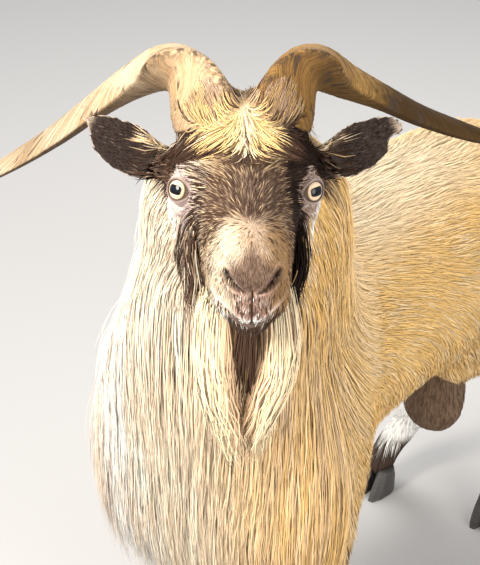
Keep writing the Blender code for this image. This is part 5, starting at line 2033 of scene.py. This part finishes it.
def stand(name, data, right, up, backward, place):
    """Link a lamp or camera and turn it by its own right, up and backward directions."""
    obj = bpy.data.objects.new(name, data)
    bpy.context.scene.collection.objects.link(obj)
    rows = [(right[i], up[i], backward[i], place[i]) for i in range(3)]
    obj.matrix_world = Matrix(rows + [(0, 0, 0, 1)])
    return obj


def add_light(name, place, size, power, color):
    """A round lamp that faces the throat."""
    data = bpy.data.lights.new(name, "AREA")
    data.shape = "DISK"
    data.size = size
    data.energy = power
    data.color = color
    backward = unit(place - LOOK_AT)
    right = unit(np.cross(UP, backward))
    stand(name, data, right, np.cross(backward, right), backward, place)


def add_camera(place):
    """The camera at its height, with its dip, its turn and its slight roll."""
    data = bpy.data.cameras.new("camera")
    data.sensor_fit = "VERTICAL"
    data.sensor_height = CAMERA_SENSOR
    data.lens = CAMERA_LENS
    data.clip_start = CAMERA_NEAR
    data.clip_end = CAMERA_FAR
    ahead = np.array((-math.sin(CAMERA_YAW) * math.cos(CAMERA_DIP),
                      math.cos(CAMERA_YAW) * math.cos(CAMERA_DIP), -math.sin(CAMERA_DIP)))
    level = unit(np.cross(ahead, UP))
    upright = np.cross(level, ahead)
    turned = level * math.cos(CAMERA_ROLL) + upright * math.sin(CAMERA_ROLL)
    raised = -level * math.sin(CAMERA_ROLL) + upright * math.cos(CAMERA_ROLL)
    return stand("camera", data, turned, raised, -ahead, place)


class GOAT_OT_set_stage(bpy.types.Operator):
    """Set the floor, the lights and the camera"""
    bl_idname = "goat.set_stage"
    bl_label = "Set stage"

    def execute(self, context):
        scene = context.scene
        mesh = bpy.data.meshes.new("floor")
        reach = FLOOR_REACH
        mesh.from_pydata([(-reach, -reach, 0), (reach, -reach, 0), (reach, reach, 0),
                          (-reach, reach, 0)], [], [(0, 1, 2, 3)])
        material = Paint("floor_grey").finish(Base_Color=FLOOR_COLOR, Roughness=0.9)
        floor = show("floor", mesh, material)

        world = bpy.data.worlds.new("studio")
        world.use_nodes = True
        background = world.node_tree.nodes["Background"]
        background.inputs["Color"].default_value = SKY_COLOR
        background.inputs["Strength"].default_value = SKY_STRENGTH
        scene.world = world
        scene.view_settings.view_transform = "Standard"

        forward = np.array((math.sin(CAMERA_TURN), -math.cos(CAMERA_TURN), 0.0))
        right = np.array((math.cos(CAMERA_TURN), math.sin(CAMERA_TURN), 0.0))
        for name, near, across, up, size, power, color in LIGHTS:
            place = LOOK_AT + forward * near + right * across + UP * up
            add_light(name, place, size, power, color)
        place = HEAD_MIDDLE + forward * CAMERA_DISTANCE
        place[2] = CAMERA_HEIGHT
        scene.camera = add_camera(place)
        return {"FINISHED"}


# ---------- the add-on

class GOAT_PT_panel(bpy.types.Panel):
    """The goat's looks in the sidebar"""
    bl_idname = "GOAT_PT_panel"
    bl_label = "Goat"
    bl_space_type = "VIEW_3D"
    bl_region_type = "UI"
    bl_category = "Goat"

    def draw(self, context):
        looks = context.scene.goat_looks
        for name in ("coat_length", "coat_density", "iris_color", "horn_pale", "hoof_color",
                     "seed"):
            self.layout.prop(looks, name)
        for operator in OPERATORS:
            self.layout.operator(operator.bl_idname)


OPERATORS = (GOAT_OT_build_skin, GOAT_OT_build_coat, GOAT_OT_build_beard,
             GOAT_OT_build_eyes, GOAT_OT_build_horns, GOAT_OT_dress_hooves,
             GOAT_OT_set_stage)
CLASSES = (GoatLooks, *OPERATORS, GOAT_PT_panel)


def register():
    for entry in CLASSES:
        bpy.utils.register_class(entry)
    bpy.types.Scene.goat_looks = PointerProperty(type=GoatLooks)


def unregister():
    del bpy.types.Scene.goat_looks
    for entry in reversed(CLASSES):
        bpy.utils.unregister_class(entry)


def main():
    register()
    bpy.ops.goat.build_skin()
    bpy.ops.goat.build_coat()
    bpy.ops.goat.build_beard()
    bpy.ops.goat.build_eyes()
    bpy.ops.goat.build_horns()
    bpy.ops.goat.dress_hooves()
    bpy.ops.goat.set_stage()


if __name__ == "__main__":
    main()
